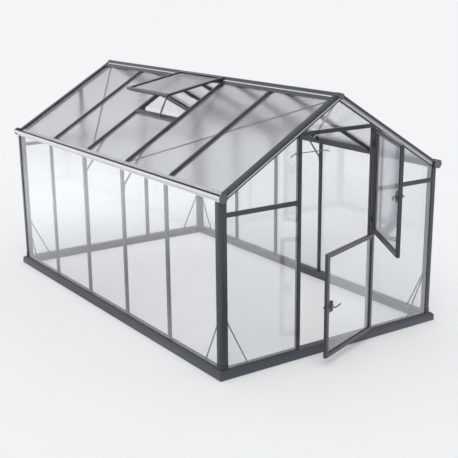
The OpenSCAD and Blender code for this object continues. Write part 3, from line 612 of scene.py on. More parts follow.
# %% a recipe of geometry nodes
class Recipe:
    """A geometry node tree whose nodes are added by one method."""

    def __init__(self, name, sizes):
        self.tree = bpy.data.node_groups.new(name, "GeometryNodeTree")
        face = self.tree.interface
        face.new_socket("Geometry", in_out="INPUT", socket_type="NodeSocketGeometry")
        self.sizes = {}
        for label, value in sizes.items():
            kind = "NodeSocketInt" if isinstance(value, int) else "NodeSocketFloat"
            socket = face.new_socket(label, in_out="INPUT", socket_type=kind)
            self.sizes[label] = (socket.identifier, value)
        face.new_socket("Geometry", in_out="OUTPUT", socket_type="NodeSocketGeometry")
        self.inputs = self.tree.nodes.new("NodeGroupInput")
        self.outputs = self.tree.nodes.new("NodeGroupOutput")

    def given(self, label):
        return Flow(self.tree, self.inputs.outputs[label])

    def node(self, kind, settings=None, sockets=None, out=0):
        node = self.tree.nodes.new(kind)
        for key, value in (settings or {}).items():
            setattr(node, key, value)
        for key, value in (sockets or {}).items():
            for one in value if isinstance(value, list) else [value]:
                if isinstance(one, Flow):
                    self.tree.links.new(one.socket, node.inputs[key])
                else:
                    node.inputs[key].default_value = one
        return Flow(self.tree, node.outputs[out])

    def end(self, geometry, material):
        """Makes the instances real, gives them a material and ends the tree."""
        self.material = material
        real = self.node("GeometryNodeRealizeInstances", sockets={"Geometry": geometry})
        done = self.node("GeometryNodeSetMaterial", sockets={"Geometry": real, "Material": material})
        self.tree.links.new(done.socket, self.outputs.inputs["Geometry"])

    def run(self, name, points, edges, body, slot, axes=None, hides=()):
        """Runs the recipe on a bare mesh and hands the outcome over as one piece."""
        mesh = bpy.data.meshes.new(name + " places")
        mesh.from_pydata([tuple(p) for p in points], edges, [])
        if axes:
            stored = mesh.attributes.new("axis", "FLOAT_VECTOR", "POINT")
            stored.data.foreach_set("vector", [c for axis in axes for c in axis])
        bare = bpy.data.objects.new(name + " places", mesh)
        bpy.context.scene.collection.objects.link(bare)
        modifier = bare.modifiers.new("recipe", "NODES")
        modifier.node_group = self.tree
        for identifier, value in self.sizes.values():
            modifier[identifier] = value
        ready = bare.evaluated_get(bpy.context.evaluated_depsgraph_get())
        made = bpy.data.meshes.new_from_object(ready)
        made.name = name
        bpy.data.objects.remove(bare)
        return hand_over(made, name, self.material, body, hides)


print("recipes ready")

# %% [markdown]
# **Rubber lips.** Black rubber beads press the panes against the bars. They follow every edge
# between a pane and its frame, so each is a line with a round section run along it. The beads
# draw the fine dark outline round the panes. A dark edge could be painted on the glass instead, but
# it would be flat, and the panes' own meshes are CAD parts that stay as they are.

# %% rubber lips recipe
BEAD = 0.0017


def bead_recipe(radius):
    recipe = Recipe("rubber bead", {"Radius": radius})
    line = recipe.node("GeometryNodeMeshToCurve", sockets={"Mesh": recipe.given("Geometry")})
    ring = recipe.node("GeometryNodeCurvePrimitiveCircle", sockets={
        "Resolution": 8, "Radius": recipe.given("Radius")})
    recipe.end(recipe.node("GeometryNodeCurveToMesh", sockets={
        "Curve": line, "Profile Curve": ring, "Fill Caps": True}), rubber)
    return recipe


class Lines:
    """Open and closed lines for a recipe to follow."""

    def __init__(self):
        self.points, self.edges = [], []

    def add(self, place, corners, closed=False):
        first = len(self.points)
        self.points += [place @ Vector(c) for c in corners]
        count = len(corners)
        self.edges += [(first + i, first + (i + 1) % count) for i in range(count if closed else count - 1)]

    def run(self, name, radius, body):
        bead_recipe(radius).run(name, self.points, self.edges, body, "frame_dark")


print("bead radius in metres:", BEAD)

# %% rubber lips of the walls and the roof
lips = Lines()
GLASS_IN = 0.0055
under = GLASS_IN - BEAD
off_bar = 0.8 * BEAD
beside = BAR_HALF + off_bar
ROOF_TOP_S, ROOF_END_S, SILL_END_S = 0.104, 1.207, 0.645
for side in (-1, 1):
    for bar, y in enumerate(BAR_YS):
        for edge in (-1, 1):
            by_vent = side < 0 and (bar, edge) in ((1, 1), (2, -1))
            start = SILL_END_S if by_vent else ROOF_TOP_S
            beside_y = y + edge * beside
            lips.add(on_roof(side), [(start, beside_y, -under), (ROOF_END_S, beside_y, -under)])

PANE_FOOT, PANE_TOP, HEAD_END_X = 0.0725, 1.363, 1.030
post_edge = POST_W + off_bar


def head_lip(x):
    """The height at which a gable's upright lips stop, just under its head bars."""
    return roof_z(x, HEAD_BELOW) - 0.002


for side in (-1, 1):
    gable = on_gable(side)
    far = WALL_X - post_edge
    half = JAMB_W / 2 if side < 0 else BAR_HALF
    near = JAMB_X + half + off_bar
    for s in (-1, 1):
        lips.add(gable, [(s * far, under, PANE_FOOT), (s * far, under, PANE_TOP)])
        lips.add(gable, [(s * near, under, PANE_FOOT), (s * near, under, head_lip(near))])
        lips.add(gable, [(s * near, under, PANE_FOOT), (s * far, under, PANE_FOOT)])
        for edge in (-1, 1):
            z = MID_BAR_Z + edge * beside
            lips.add(gable, [(s * near, under, z), (s * far, under, z)])
        if side > 0:
            inner = 2 * JAMB_X - near
            lips.add(gable, [(s * inner, under, PANE_FOOT), (s * inner, under, head_lip(inner))])
    for x in (HEAD_END_X, -HEAD_END_X):
        lips.add(gable, [(x, under, head_lip(x)), (0.0, under, head_lip(0.0))])
for side in (-1, 1):
    wall = on_side(side) @ Matrix.Translation((WALL_X - under, 0, 0))
    first, last = FRONT_Y + post_edge, BACK_Y - post_edge
    for y in (first, last):
        lips.add(wall, [(0, y, PANE_FOOT), (0, y, PANE_TOP)])
    lips.add(wall, [(0, first, PANE_FOOT), (0, last, PANE_FOOT)])
lips.run("glazing_lips", BEAD, "house")

# %% rubber lips of the door leaves and the vent
LOCK_HALF_W, LOCK_HALF_H, PANE_HALF = 0.024, 0.040, 0.002
SEAL, SEAL_IN, SEAL_OUT = 0.0026, 0.006, 0.0142
for which, (angle, handle_z) in LEAVES.items():
    low, high = leaf_spans[which]
    inset = LEAF_BAR + off_bar
    u0, u1 = LEAF_EDGE + inset, high.x - inset
    z0, z1 = low.z + inset, high.z - inset
    lock_u, lock_z = HANDLE_U - LOCK_HALF_W - off_bar, LOCK_HALF_H + off_bar
    outline = [(u0, z0), (u1, z0), (u1, handle_z - lock_z), (lock_u, handle_z - lock_z),
               (lock_u, handle_z + lock_z), (u1, handle_z + lock_z), (u1, z1), (u0, z1)]
    pane_lips, leaf_seal = Lines(), Lines()
    for s in (-1, 1):
        on_pane = s * (PANE_HALF + BEAD)
        pane_lips.add(on_leaf(which), [(u, on_pane, z) for u, z in outline], closed=True)
    pane_lips.run(which + "_pane_lips", BEAD, which + "_leaf")
    corners = rectangle(LEAF_EDGE + SEAL_IN, low.z + SEAL_IN, high.x - SEAL_IN, high.z - SEAL_IN)
    leaf_seal.add(on_leaf(which), [(u, SEAL_OUT, z) for u, z in corners], closed=True)
    leaf_seal.run(which + "_leaf_seal", SEAL, which + "_leaf")

vent_lips = Lines()
inset = VENT_BAR + off_bar
corners = rectangle(inset, VENT_Y0 + inset, VENT_L - inset, VENT_Y1 - inset)
for z in (VENT_T / 2 - PANE_HALF - BEAD, VENT_T / 2 + PANE_HALF + BEAD):
    vent_lips.add(ON_VENT, [(x, y, z) for x, y in corners], closed=True)
vent_lips.run("vent_lips", BEAD, "house")

# %% [markdown]
# **Bolts.** Flanged hexagon bolts hold the bars, braces and corners. Each is a washer disc and a
# six-sided head. More than a hundred placed by hand would be slow, and copies of one object would
# all point alike. The recipe stands one on every point, lines it up with the way out of its face,
# and turns it about that axis by a random angle, as hands leave them.

# %% bolt recipe
A_SIXTH_TURN = 1.05


def bolt_recipe(head, height, seed):
    recipe = Recipe("flanged bolt", {"Head radius": head, "Head height": height, "Seed": seed})
    radius, tall = recipe.given("Head radius"), recipe.given("Head height")
    disc = recipe.node("GeometryNodeMeshCylinder", sockets={
        "Vertices": 12, "Radius": radius * 1.55, "Depth": tall * 0.3})
    hexagon = recipe.node("GeometryNodeMeshCone", {"fill_type": "NGON"}, {
        "Vertices": 6, "Radius Top": radius * 0.9, "Radius Bottom": radius, "Depth": tall * 0.85})
    lift = recipe.node("ShaderNodeCombineXYZ", sockets={"Z": tall * 0.15})
    disc = recipe.node("GeometryNodeTransform", sockets={"Geometry": disc, "Translation": lift})
    hexagon = recipe.node("GeometryNodeTransform", sockets={"Geometry": hexagon, "Translation": lift})
    bolt = recipe.node("GeometryNodeJoinGeometry", sockets={"Geometry": [disc, hexagon]})
    axis = recipe.node("GeometryNodeInputNamedAttribute", {"data_type": "FLOAT_VECTOR"}, {
        "Name": "axis"})
    upright = recipe.node("FunctionNodeAlignRotationToVector", {"axis": "Z"}, {"Vector": axis})
    chance = recipe.node("FunctionNodeRandomValue", {"data_type": "FLOAT"}, {
        2: 0.0, 3: A_SIXTH_TURN, "Seed": recipe.given("Seed")}, out=1)
    spin = recipe.node("FunctionNodeAxisAngleToRotation", sockets={"Axis": (0.0, 0.0, 1.0), "Angle": chance})
    turned = recipe.node("FunctionNodeRotateRotation", {"rotation_space": "LOCAL"}, {
        "Rotation": upright, "Rotate By": spin})
    recipe.end(recipe.node("GeometryNodeInstanceOnPoints", sockets={
        "Points": recipe.given("Geometry"), "Instance": bolt, "Rotation": turned}), bolt_steel)
    return recipe


class Bolts:
    """Where bolts stand, and which way they point."""

    def __init__(self):
        self.points, self.axes = [], []

    def add(self, place, point, axis):
        self.points.append(place @ Vector(point))
        self.axes.append((place.to_3x3() @ Vector(axis)).normalized())

    def run(self, name, body, head, height, seed):
        recipe = bolt_recipe(head, height, seed)
        recipe.run(name, self.points, [], body, "steel", axes=self.axes)


print("bolts ready")

# %% bolts of the house
frame_bolts = Bolts()
OUT, IN, UP, DOWN, INWARD = (0, -1, 0), (0, 1, 0), (0, 0, 1), (0, 0, -1), (-1, 0, 0)
BAR_BACK_X = 1.066
for side in (-1, 1):
    for y in BAR_YS:
        for s in (0.135, 1.180):
            frame_bolts.add(on_roof(side), (s, y, 0.0), UP)
        for z in (0.110, 1.325):
            frame_bolts.add(on_side(side), (BAR_BACK_X, y, z), INWARD)
        for beside_bar in (-0.032, 0.032):
            frame_bolts.add(on_side(side), (1.055, y + beside_bar, BASE_H), UP)
    for y in (FRONT_Y - VERGE_OUT + VERGE_W / 2, BACK_Y + VERGE_OUT - VERGE_W / 2):
        for s in (0.105, 0.64, 1.190):
            frame_bolts.add(on_roof(side), (s, y, VERGE_RISE), UP)
    gable = on_gable(side)
    for s in (-1, 1):
        for z in (0.105, MID_BAR_Z, 1.640):
            frame_bolts.add(gable, (s * JAMB_X, 0.0, z), OUT)
        frame_bolts.add(gable, (s * (WALL_X - POST_W / 2), POST_W, MID_BAR_Z), IN)
    for x in (-0.90, -0.50, 0.50, 0.90):
        frame_bolts.add(gable, (x, 0.045, BASE_H), UP)
frame_bolts.run("frame_bolts", "house", head=0.0048, height=0.0042, seed=11)

brace_bolts = Bolts()
SWAP_XY = Matrix(((0, 1, 0, 0), (1, 0, 0, 0), (0, 0, 1, 0), (0, 0, 0, 1)))
BRACE_FACE = 0.0296
for sx in (-1, 1):
    for sy in (1, -1):
        for swap in (Matrix(), SWAP_XY):
            for y, z in ((0.078, 0.432), (0.244, 0.098)):
                brace_bolts.add(on_corner(sx, sy) @ swap, (BRACE_FACE, y, z), (1, 0, 0))
KNEE_Z, KNEE_X = EAVE_Z - 0.140, WALL_X - 0.225
for side in (-1, 1):
    for y in (VENT_Y0, VENT_Y1):
        brace_bolts.add(on_side(side), (WALL_X - 0.0385, y, KNEE_Z - 0.018), INWARD)
        s = (KNEE_X - 0.016) / math.cos(ROOF_ANGLE) - 0.02
        brace_bolts.add(on_roof(side), (s, y, -0.0390), DOWN)
brace_bolts.run("brace_bolts", "house", head=0.0042, height=0.0050, seed=23)

# %% bolts of the door leaves
for which, (angle, handle_z) in LEAVES.items():
    low, high = leaf_spans[which]
    leaf_bolts = Bolts()
    for s in (-1, 1):
        face = s * LEAF_HALF
        for u in (LEAF_EDGE + LEAF_BAR / 2, high.x - LEAF_BAR / 2):
            for z in (low.z + LEAF_BAR / 2, high.z - LEAF_BAR / 2):
                leaf_bolts.add(on_leaf(which), (u, face, z), (0, s, 0))
        for dz in (-0.031, 0.031):
            leaf_bolts.add(on_leaf(which), (HANDLE_U, face, handle_z + dz), (0, s, 0))
    leaf_bolts.run(which + "_leaf_bolts", which + "_leaf", head=0.0034, height=0.0024, seed=31)

# %% [markdown]
# **Lever handles.** Each leaf has a lever outside and a short turn inside, on one spindle. The
# lever leaves its neck in a tight bend and slims towards its end, so it is an oval rod along a
# smooth route, where a bent box would show its corners. It replaces the plain CAD lever. The
# rosettes are turned rings, which stay with the leaf when the lever turns.

# %% handles
LEVER_ARM = [(0, -0.0185, 0), (0, -0.030, 0), (-0.003, -0.040, 0), (-0.014, -0.0435, 0),
             (-0.050, -0.0440, 0.001), (-0.085, -0.0420, 0.002), (-0.098, -0.0375, 0.002),
             (-0.101, -0.0355, 0.002)]
INNER_TURN = [(0, 0.0185, 0), (0, 0.032, 0), (0.003, 0.041, -0.003), (0.010, 0.0435, -0.010),
              (0.0215, 0.0435, -0.0215)]
ROSETTE = [(0.0072, 0.0122), (0.0212, 0.0122), (0.0219, 0.0140), (0.0219, 0.0172),
           (0.0205, 0.0194), (0.0150, 0.0204), (0.0120, 0.0216), (0.0072, 0.0216)]
for which, (angle, handle_z) in LEAVES.items():
    at = on_leaf(which) @ Matrix.Translation((HANDLE_U, 0, handle_z))
    lever = Shape()
    lever.rod([at @ Vector((0, y, 0)) for y in (-0.020, 0.020)], [0.0039, 0.0039])
    route = smooth_route([at @ Vector(p) for p in LEVER_ARM], 4)
    radii = [0.0068 - 0.0016 * i / len(route) for i in range(len(route))]
    radii[-1] *= 0.55
    lever.rod(route, radii, sides=14, flat=0.8)
    route = smooth_route([at @ Vector(p) for p in INNER_TURN], 4)
    lever.rod(route, [0.0062] * (len(route) - 1) + [0.0040], sides=14, flat=0.85)
    lever.piece(which + "_lever", grey_steel, which + "_handle", hides=(which + "_leaf_handle",))

    rosettes = Shape()
    for s in (-1, 1):
        rosettes.turned(ROSETTE, at @ Matrix.Rotation(math.radians(-90.0 * s), 4, "X"), sides=36)
    rosettes.piece(which + "_rosettes", brown_plastic, which + "_leaf")

# %% [markdown]
# **Hinges.** The CAD hinge is a knuckle on a pin. The real one also has a domed cap under the pin,
# and a flag plate that is screwed to the jamb. The cap is a turned outline, the plate a thin block
# with eased edges.

# %% hinge caps and flags
hinge_parts = Shape()
hinge_bolts = Bolts()
HINGE_IN = 0.110
DOME = [(0, 0), (0.0060, 0), (0.0068, 0.0008), (0.0068, 0.0030), (0.0052, 0.0052), (0.0020, 0.0062),
        (0, 0.0064)]
plate_y = FRONT_Y - 0.0025
for which in LEAVES:
    low, high = leaf_spans[which]
    for z in (low.z + HINGE_IN, high.z - HINGE_IN):
        hinge_parts.turned(DOME, along((0, 0, -1), HINGE + Vector((0, 0, z - 0.0262))), sides=18)
        plate_low = (JAMB_X - 0.013, plate_y, z - 0.034)
        plate_high = (JAMB_X + 0.013, FRONT_Y - 0.0002, z + 0.008)
        hinge_parts.block(plate_low, plate_high, bevel=0.0008)
        for dz in (-0.029, 0.003):
            hinge_bolts.add(Matrix(), (JAMB_X, plate_y, z + dz), OUT)
hinge_parts.piece("hinge_plates", dark_plastic, "house")
hinge_bolts.run("hinge_screws", "house", head=0.0026, height=0.0022, seed=41)

# %% [markdown]
# **The stay rod of the upper leaf** is a thin round rod with a ball on its end, which slides in a
# small block on the latch jamb. Its ends are bent down. Straight pieces would kink there, so the
# rod follows a spline through seven points.

# %% stay rod of the upper leaf
stay = Shape()
STAY_Y, STAY_Z, STAY_X0, STAY_X1, BALL = 0.0294, 1.627, -0.390, -0.084, 0.0085


def bush(bore, shoulder, outer, half, rim):
    """The outline of a short tube with eased edges, for turning."""
    return [(bore, -half), (shoulder, -half), (outer, -rim), (outer, rim), (shoulder, half), (bore, half)]


bend = [(STAY_X0 - 0.0303, STAY_Y, STAY_Z - 0.0154), (STAY_X0 - 0.012, STAY_Y, STAY_Z - 0.006),
        (STAY_X0 + 0.030, STAY_Y, STAY_Z), (STAY_X0 + 0.150, STAY_Y, STAY_Z + 0.001),
        (STAY_X1 - 0.030, STAY_Y, STAY_Z), (STAY_X1 + 0.012, STAY_Y, STAY_Z - 0.006),
        (STAY_X1 + 0.0303, STAY_Y, STAY_Z - 0.0154)]
route = smooth_route([Vector(p) for p in bend])
stay.rod(route, [0.0036] * (len(route) - 1) + [0.0026], sides=12)
rounds = [math.radians(-90 + 22.5 * i) for i in range(1, 8)]
ball = [(0, -BALL)] + [(BALL * math.cos(a), BALL * math.sin(a)) for a in rounds] + [(0, BALL)]
stay.turned(ball, Matrix.Translation(bend[0]), sides=20)
block_low = (-JAMB_X - 0.010, STAY_Y - 0.0100, STAY_Z - 0.010)
block_high = (-JAMB_X + 0.010, STAY_Y + 0.010, STAY_Z + 0.010)
stay.block(block_low, block_high, bevel=0.0022)
collar = bush(bore=0.0038, shoulder=0.0075, outer=0.0080, half=0.013, rim=0.012)
stay.turned(collar, along((1, 0, 0), (-JAMB_X, STAY_Y, STAY_Z)), sides=20)
stay.piece("stay_rod", grey_steel, "house", hides=("door_stay",))

# %% [markdown]
# **The vent's stay** is an automatic opener: two thin rods, one with a thicker tube on it, between a
# foot on the sill and an eye under the vent's free rail.

# %% vent opener
slope = on_roof(-1)
EYE_S, TUBE_ASIDE, ROD_ASIDE = 0.585, 0.007, 0.008
foot = slope @ Vector((0.622, 1.7636, 0.006))
head_s = VENT_S + EYE_S * math.cos(VENT_OPEN)
head_up = VENT_UP + EYE_S * math.sin(VENT_OPEN) - 0.005
head = slope @ Vector((head_s, 1.520, head_up))
sideways = (head - foot).cross(slope.to_3x3() @ Vector((0, 0, 1))).normalized()
opener = Shape()
opener.rod([foot + sideways * TUBE_ASIDE, head + sideways * TUBE_ASIDE], [0.0042, 0.0042])
opener.rod([foot - sideways * ROD_ASIDE, head - sideways * ROD_ASIDE], [0.0028, 0.0028])
opener.rod([foot.lerp(head, t) + sideways * TUBE_ASIDE for t in (0.18, 0.62)], [0.0070, 0.0070])
eye = bush(bore=0.0030, shoulder=0.0080, outer=0.0086, half=0.012, rim=0.011)
for end in (foot, head):
    opener.turned(eye, along(sideways, end), sides=18)
opener.block((0.604, 1.742, 0.0004), (0.640, 1.785, 0.0030), slope, bevel=0.0008)
opener.piece("vent_opener", grey_steel, "house", hides=("vent_stay",))

# %% [markdown]
# **The brush strip** seals the gap under the vent's free rail with short black ribs, one every nine
# millimetres. The recipe places a row of points and stands a rib on each.

# %% brush strip
def rib_recipe(count, gap):
    recipe = Recipe("brush ribs", {"Count": count, "Gap": gap, "Rib depth": 0.012, "Rib height": 0.011})
    size = recipe.node("ShaderNodeCombineXYZ", sockets={
        "X": recipe.given("Rib depth"), "Y": recipe.given("Gap") * 0.55, "Z": recipe.given("Rib height")})
    rib = recipe.node("GeometryNodeMeshCube", sockets={"Size": size})
    step = recipe.node("ShaderNodeCombineXYZ", sockets={"Y": recipe.given("Gap")})
    row = recipe.node("GeometryNodeMeshLine", {"mode": "OFFSET"}, {
        "Count": recipe.given("Count"), "Offset": step})
    ribs = recipe.node("GeometryNodeInstanceOnPoints", sockets={"Points": row, "Instance": rib})
    start = ON_VENT @ Vector((VENT_L - 0.016, VENT_Y0 + 0.022, -0.0055))
    tilt = (ON_VENT @ on_side(-1)).to_euler()
    recipe.end(recipe.node("GeometryNodeTransform", sockets={
        "Geometry": ribs, "Translation": tuple(start), "Rotation": tuple(tilt)}), rubber)
    return recipe


rib_recipe(76, 0.009).run("vent_brush", [(0, 0, 0)], [], "house", "frame_dark")

# %% [markdown]
# **Post feet.** A moulded boot wraps the rounded outside of each corner post, where it stands on
# the base. A plain block would cut through the rounding, so the outline is the post's own corner,
# set out by two millimetres.

# %% post feet
boots = Shape()
BOOT_OUT, BOOT_IN, BOOT_END, BOOT_Z, POST_R = -0.0022, -0.0002, 0.061, 0.0703, 0.032
quarter = [math.radians(180 + 90 * i / 8) for i in range(9)]


def corner_line(shift):
    """The post's rounded outside corner, set out or in."""
    r = POST_R - shift
    arc = [(POST_R + r * math.cos(a), POST_R + r * math.sin(a)) for a in quarter]
    return [(shift, BOOT_END)] + arc + [(BOOT_END, shift)]


boot_outline = corner_line(BOOT_OUT) + corner_line(BOOT_IN)[::-1]
for sx in (-1, 1):
    for sy in (1, -1):
        boots.prism(boot_outline, on_corner(sx, sy, BOOT_Z), 0.046, bevel=0.0006)
boots.piece("post_feet", dark_plastic, "house")

# %% [markdown]
# **End caps** close the gutters and the ridge. A real one has a rolled rim round a shallow dish,
# which a turned outline gives in one go. They replace the flat CAD discs.

# %% end caps
caps = Shape()
GUTTER_CAP_R, RIDGE_CAP_R = 0.037, 0.025
cap_x = (GUTTER_X0 + GUTTER_X1) / 2 - 0.008
cap_z = (GUTTER_Z0 + GUTTER_Z1) / 2
spots = [(-cap_x, cap_z, GUTTER_CAP_R), (cap_x, cap_z, GUTTER_CAP_R), (0.0, RIDGE_Z - 0.020, RIDGE_CAP_R)]
for sy, y in ((-1, FRONT_Y - VERGE_OUT - 0.0004), (1, BACK_Y + VERGE_OUT + 0.0004)):
    for x, z, r in spots:
        dish = [(0, 0), (r - 0.0006, 0), (r, 0.0006), (r, 0.0026), (r - 0.0012, 0.0038),
                (r - 0.0040, 0.0040), (r - 0.0058, 0.0032), (r - 0.0075, 0.0026), (0, 0.0026)]
        caps.turned(dish, along((0, sy, 0), (x, y, z)), sides=48)
caps.piece("round_end_caps", grey_plastic, "house", hides=("end_caps",))

# %% [markdown]
# **Collars.** Two black clips hold the upper end of each gable rafter. Each is a narrow strap, whose
# outline runs round the rafter's own section and a little proud of it.

# %% rafter collars
collars = Shape()
VERGE_R, PROUD, STRAP_FOOT = 0.020, 0.0009, -0.015
r = VERGE_R + PROUD
verge_arc = [(VERGE_R + r * math.cos(a), VERGE_RISE - VERGE_R + r * math.sin(a))
             for a in [math.radians(180 - 90 * i / 6) for i in range(7)]]
strap = [(-PROUD, STRAP_FOOT)] + verge_arc + [
    (VERGE_W, VERGE_RISE + PROUD), (VERGE_W, 0.0055), (VERGE_R, 0.0055),
    (0.0005, VERGE_RISE - VERGE_R), (0.0005, STRAP_FOOT)]
for side in (-1, 1):
    for sy, y in ((1, FRONT_Y - VERGE_OUT), (-1, BACK_Y + VERGE_OUT)):
        for s in (0.040, 0.062):
            lay = Matrix(((0, 0, 1, s), (sy, 0, 0, y), (0, 1, 0, 0), (0, 0, 0, 1)))
            collars.prism(strap, on_roof(side) @ lay, 0.007)
collars.piece("rafter_collars", rubber, "house")

# %% [markdown]
# **Gutter flashings.** A sloping pale strip covers the top of the eave beam, so that rain runs off
# the panes into the gutter, and an upright one hides the beam's edge under the gutter. Both are
# thin solids, because a sheet without thickness wouldn't be a closed mesh.

# %% gutter flashings
flashing = Shape()
LENGTH = BACK_Y - FRONT_Y
BETWEEN_VERGES = 0.037
UNDER_PANE = 0.00965
for side in (-1, 1):
    top = [(x, roof_z(x, UNDER_PANE)) for x in (1.0360, 1.0602)]
    saddle = top + [(x, z - 0.0003) for x, z in reversed(top)]
    lay = on_side(side) @ lengthwise(FRONT_Y + BETWEEN_VERGES)
    flashing.prism(saddle, lay, LENGTH - 2 * BETWEEN_VERGES)
    skirt = rectangle(1.1001, 1.3641, 1.1016, 1.3745)
    flashing.prism(skirt, lay @ Matrix.Translation((0, 0, -BETWEEN_VERGES)), LENGTH)
flashing.piece("gutter_flashings", pale_alloy, "house")

# %% [markdown]
# **Ridge mouldings.** A dark, low moulding runs beside the crown and leaves only a narrow line of
# the pale strip in sight. It stops on both sides of the vent, so one outline is drawn out
# along the ridge three times.

# %% ridge mouldings
mouldings = Shape()
VERGE_IN = VERGE_W - VERGE_OUT
low_y, high_y = FRONT_Y + VERGE_IN + 0.001, BACK_Y - VERGE_IN - 0.001
profile = [(0.0285, 0.0058), (0.0295, 0.0068), (0.0330, 0.0074), (0.0420, 0.0074),
           (0.0450, 0.0068), (0.0460, 0.0058)]
for side, y0, y1 in ((1, low_y, high_y), (-1, low_y, VENT_Y0 - 0.008), (-1, VENT_Y1 + 0.008, high_y)):
    mouldings.prism(profile, on_roof(side) @ lengthwise(y0), y1 - y0)
mouldings.piece("ridge_mouldings", frame_coat, "house")

# %% [markdown]
# **Gusset plates and clips.** Flat plates join the jambs to the header and the head bars, and
# small clips hold the wind braces where they cross a rafter. The knob on the header is the button
# that the upper leaf shuts against.

# %% gussets and clips
plates = Shape()
HALF_PLATE, PLATE_H, PLATE_BELOW = 0.012, 0.045, 0.043
for side in (-1, 1):
    lay = on_gable(side) @ lengthwise(-0.0022)
    for s in (-1, 1):
        x0, x1 = JAMB_X + HALF_PLATE, JAMB_X - HALF_PLATE
        z0 = roof_z(x0, HEAD_BELOW) - PLATE_H
        gusset = [(s * x0, z0), (s * x0, roof_z(x0, PLATE_BELOW)), (s * x1, roof_z(x1, PLATE_BELOW)),
                  (s * x1, z0)]
        plates.prism(gusset, lay, 0.0020, bevel=0.0005)

# A wind brace runs from (brace_top, ya) down to (brace_foot, yb) and crosses a rafter on the way.
brace_top = 0.0124 / math.cos(ROOF_ANGLE) + 0.034 * math.tan(ROOF_ANGLE) + 0.016
brace_foot = 1.0346 / math.cos(ROOF_ANGLE) - 0.032
for side in (-1, 1):
    for cross, ya, yb in ((BAR_YS[3], 3.655, 2.210), (BAR_YS[0], 0.045, 1.490)):
        s = brace_top + (brace_foot - brace_top) * (cross - ya) / (yb - ya)
        clip_low = (s - 0.024, cross - 0.0115, -0.0388)
        clip_high = (s + 0.024, cross + 0.0115, -0.0366)
        plates.block(clip_low, clip_high, on_roof(side), bevel=0.0007)
plates.piece("gusset_plates", frame_coat, "house")

button = Shape()
knob = [(0, 0), (0.0105, 0), (0.0105, 0.0030), (0.0050, 0.0042), (0.0050, 0.0110),
        (0.0095, 0.0130), (0.0112, 0.0165), (0.0100, 0.0205), (0.0060, 0.0228), (0, 0.0232)]
button.turned(knob, along((0, -1, 0), (-0.206, FRONT_Y - 0.0002, 1.7790)), sides=24)
button.piece("header_button", dark_plastic, "house")

# %% [markdown]
# The studio is a wide pale floor under an even white sky, with one broad lamp that comes from the
# left, the front and above. The sky shows as plain pale grey to the camera, so that the floor runs
# out without an edge. Glass and paint mirror the floor too, and an even floor would leave the panes
# flat, so mirrors see one with a bright oval far out on the left and dark ones nearer by.

# %% floor
SKY_TINT = (0.97, 0.985, 1.0)


def only_mirrors(finish):
    """1 for a ray that leaves a mirror, and 0 for one that has passed through rough glass."""
    through = finish.node("LightPath", out="Is Transmission Ray")
    return finish.node("LightPath", out="Is Glossy Ray") * (1.0 - through)


def floor_finish():
    """Pale paint. Mirrors see a bright floor with soft dark and bright ovals on it."""
    paint = Finish("pale studio floor")
    grain = paint.noise(0.6, detail=3.0)
    pale = paint.node("BsdfPrincipled", sockets={
        "Base Color": paint.mix(grain, rgba(*[0.885] * 3), rgba(*[0.905] * 3)),
        "Roughness": 0.9,
        "Specular IOR Level": 0.1,
    })

    def patch(shift, scale):
        """1 in the middle of a soft oval on the floor, 0 outside it. Places are scaled, then shifted."""
        oval = paint.node("Mapping", {"vector_type": "POINT"}, {
            "Vector": paint.place(), "Location": (*shift, 0.0), "Scale": (*scale, 1.0)})
        away = paint.node("VectorMath", {"operation": "LENGTH"}, {0: oval}, out="Value")
        return 1.0 - paint.spread(away, 0.25, 1.05)

    in_front = patch((0.42, 0.72), (0.50, 0.36))
    inside = patch((-0.20, -0.95), (0.50, 0.42))
    beside = patch((1.30, -0.79), (0.65, 0.33))
    lit_side = patch((1.18, -1.68), (0.28, 0.28))
    mirrored = paint.node("Emission", sockets={
        "Color": rgba(*SKY_TINT),
        "Strength": 1.25 - 1.10 * in_front - 0.55 * inside - 0.60 * beside + 0.75 * lit_side,
    })
    return paint.surface(paint.node("MixShader", sockets={0: only_mirrors(paint), 1: pale, 2: mirrored}))


bpy.ops.mesh.primitive_plane_add(size=120.0, location=(0.0, 0.0, -0.001))
floor = bpy.context.object
floor.name = "floor"
dress(floor, floor_finish())
print(floor.name, "ready")

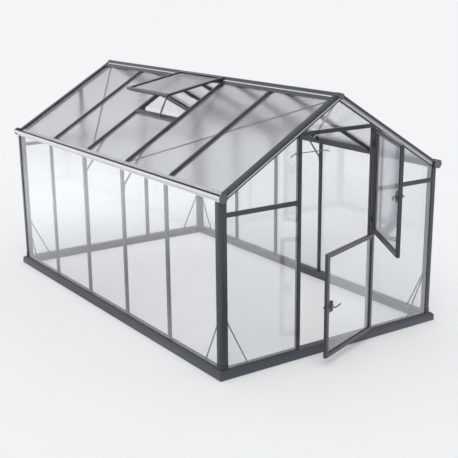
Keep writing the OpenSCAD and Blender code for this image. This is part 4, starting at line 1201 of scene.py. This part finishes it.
# %% [markdown]
# Painted bars look alive through what they mirror, so mirrors see a sky of their own too. It is
# bright all round, brightest on the left where a tall soft box stands, and has one dark patch behind
# the camera, like the dark end of a studio. Plain light on the object stays even.

# %% sky
SKY_LEVEL = 0.80
BACKDROP = (0.896, 0.913, 0.922)
SOFT_BOX_SIDE = Vector((-0.90, -0.20, 0.30)).normalized()
DARK_SIDE = Vector((-0.25, -0.80, 0.50)).normalized()

world = bpy.data.worlds.new("studio sky")
bpy.context.scene.world = world
sky = Finish("studio sky", world)
toward = sky.node("TexCoord", out="Generated")


def facing(side, edge):
    """1 where the sky looks towards a side, fading to 0 at an angle in degrees from it."""
    alike = sky.node("VectorMath", {"operation": "DOT_PRODUCT"}, {0: toward, 1: side}, out="Value")
    settings = {"clamp": True, "interpolation_type": "SMOOTHSTEP"}
    return sky.node("MapRange", settings, {
        "Value": alike, "From Min": math.cos(math.radians(edge)), "From Max": 1.0}, out="Result")


def glow(level):
    """An even light of one level."""
    return sky.node("Background", sockets={"Color": rgba(*SKY_TINT), "Strength": level})


mirrored = glow(SKY_LEVEL + 0.78 * facing(SOFT_BOX_SIDE, 75.0) - 0.70 * facing(DARK_SIDE, 50.0))
lit = sky.node("MixShader", sockets={0: only_mirrors(sky), 1: glow(SKY_LEVEL), 2: mirrored})
shown = sky.node("Background", sockets={"Color": rgba(*BACKDROP)})
to_camera = sky.node("LightPath", out="Is Camera Ray")
sky.surface(sky.node("MixShader", sockets={0: to_camera, 1: lit, 2: shown}))
print("sky ready")

# %% [markdown]
# The lamp is a weak sun, 35 degrees wide, because the sky gives most of the light. It models the
# bars and lays a soft shadow on the floor, where a small hard lamp would draw every bar.

# %% lamp
lamp_data = bpy.data.lights.new("broad lamp", "SUN")
lamp_data.energy = 0.9
lamp_data.angle = math.radians(35.0)
lamp = bpy.data.objects.new("broad lamp", lamp_data)
lamp.rotation_euler = Vector((-0.35, -0.45, 0.82)).to_track_quat("Z", "Y").to_euler()
bpy.context.scene.collection.objects.link(lamp)
bpy.context.scene.view_settings.view_transform = "Standard"
print("studio ready")
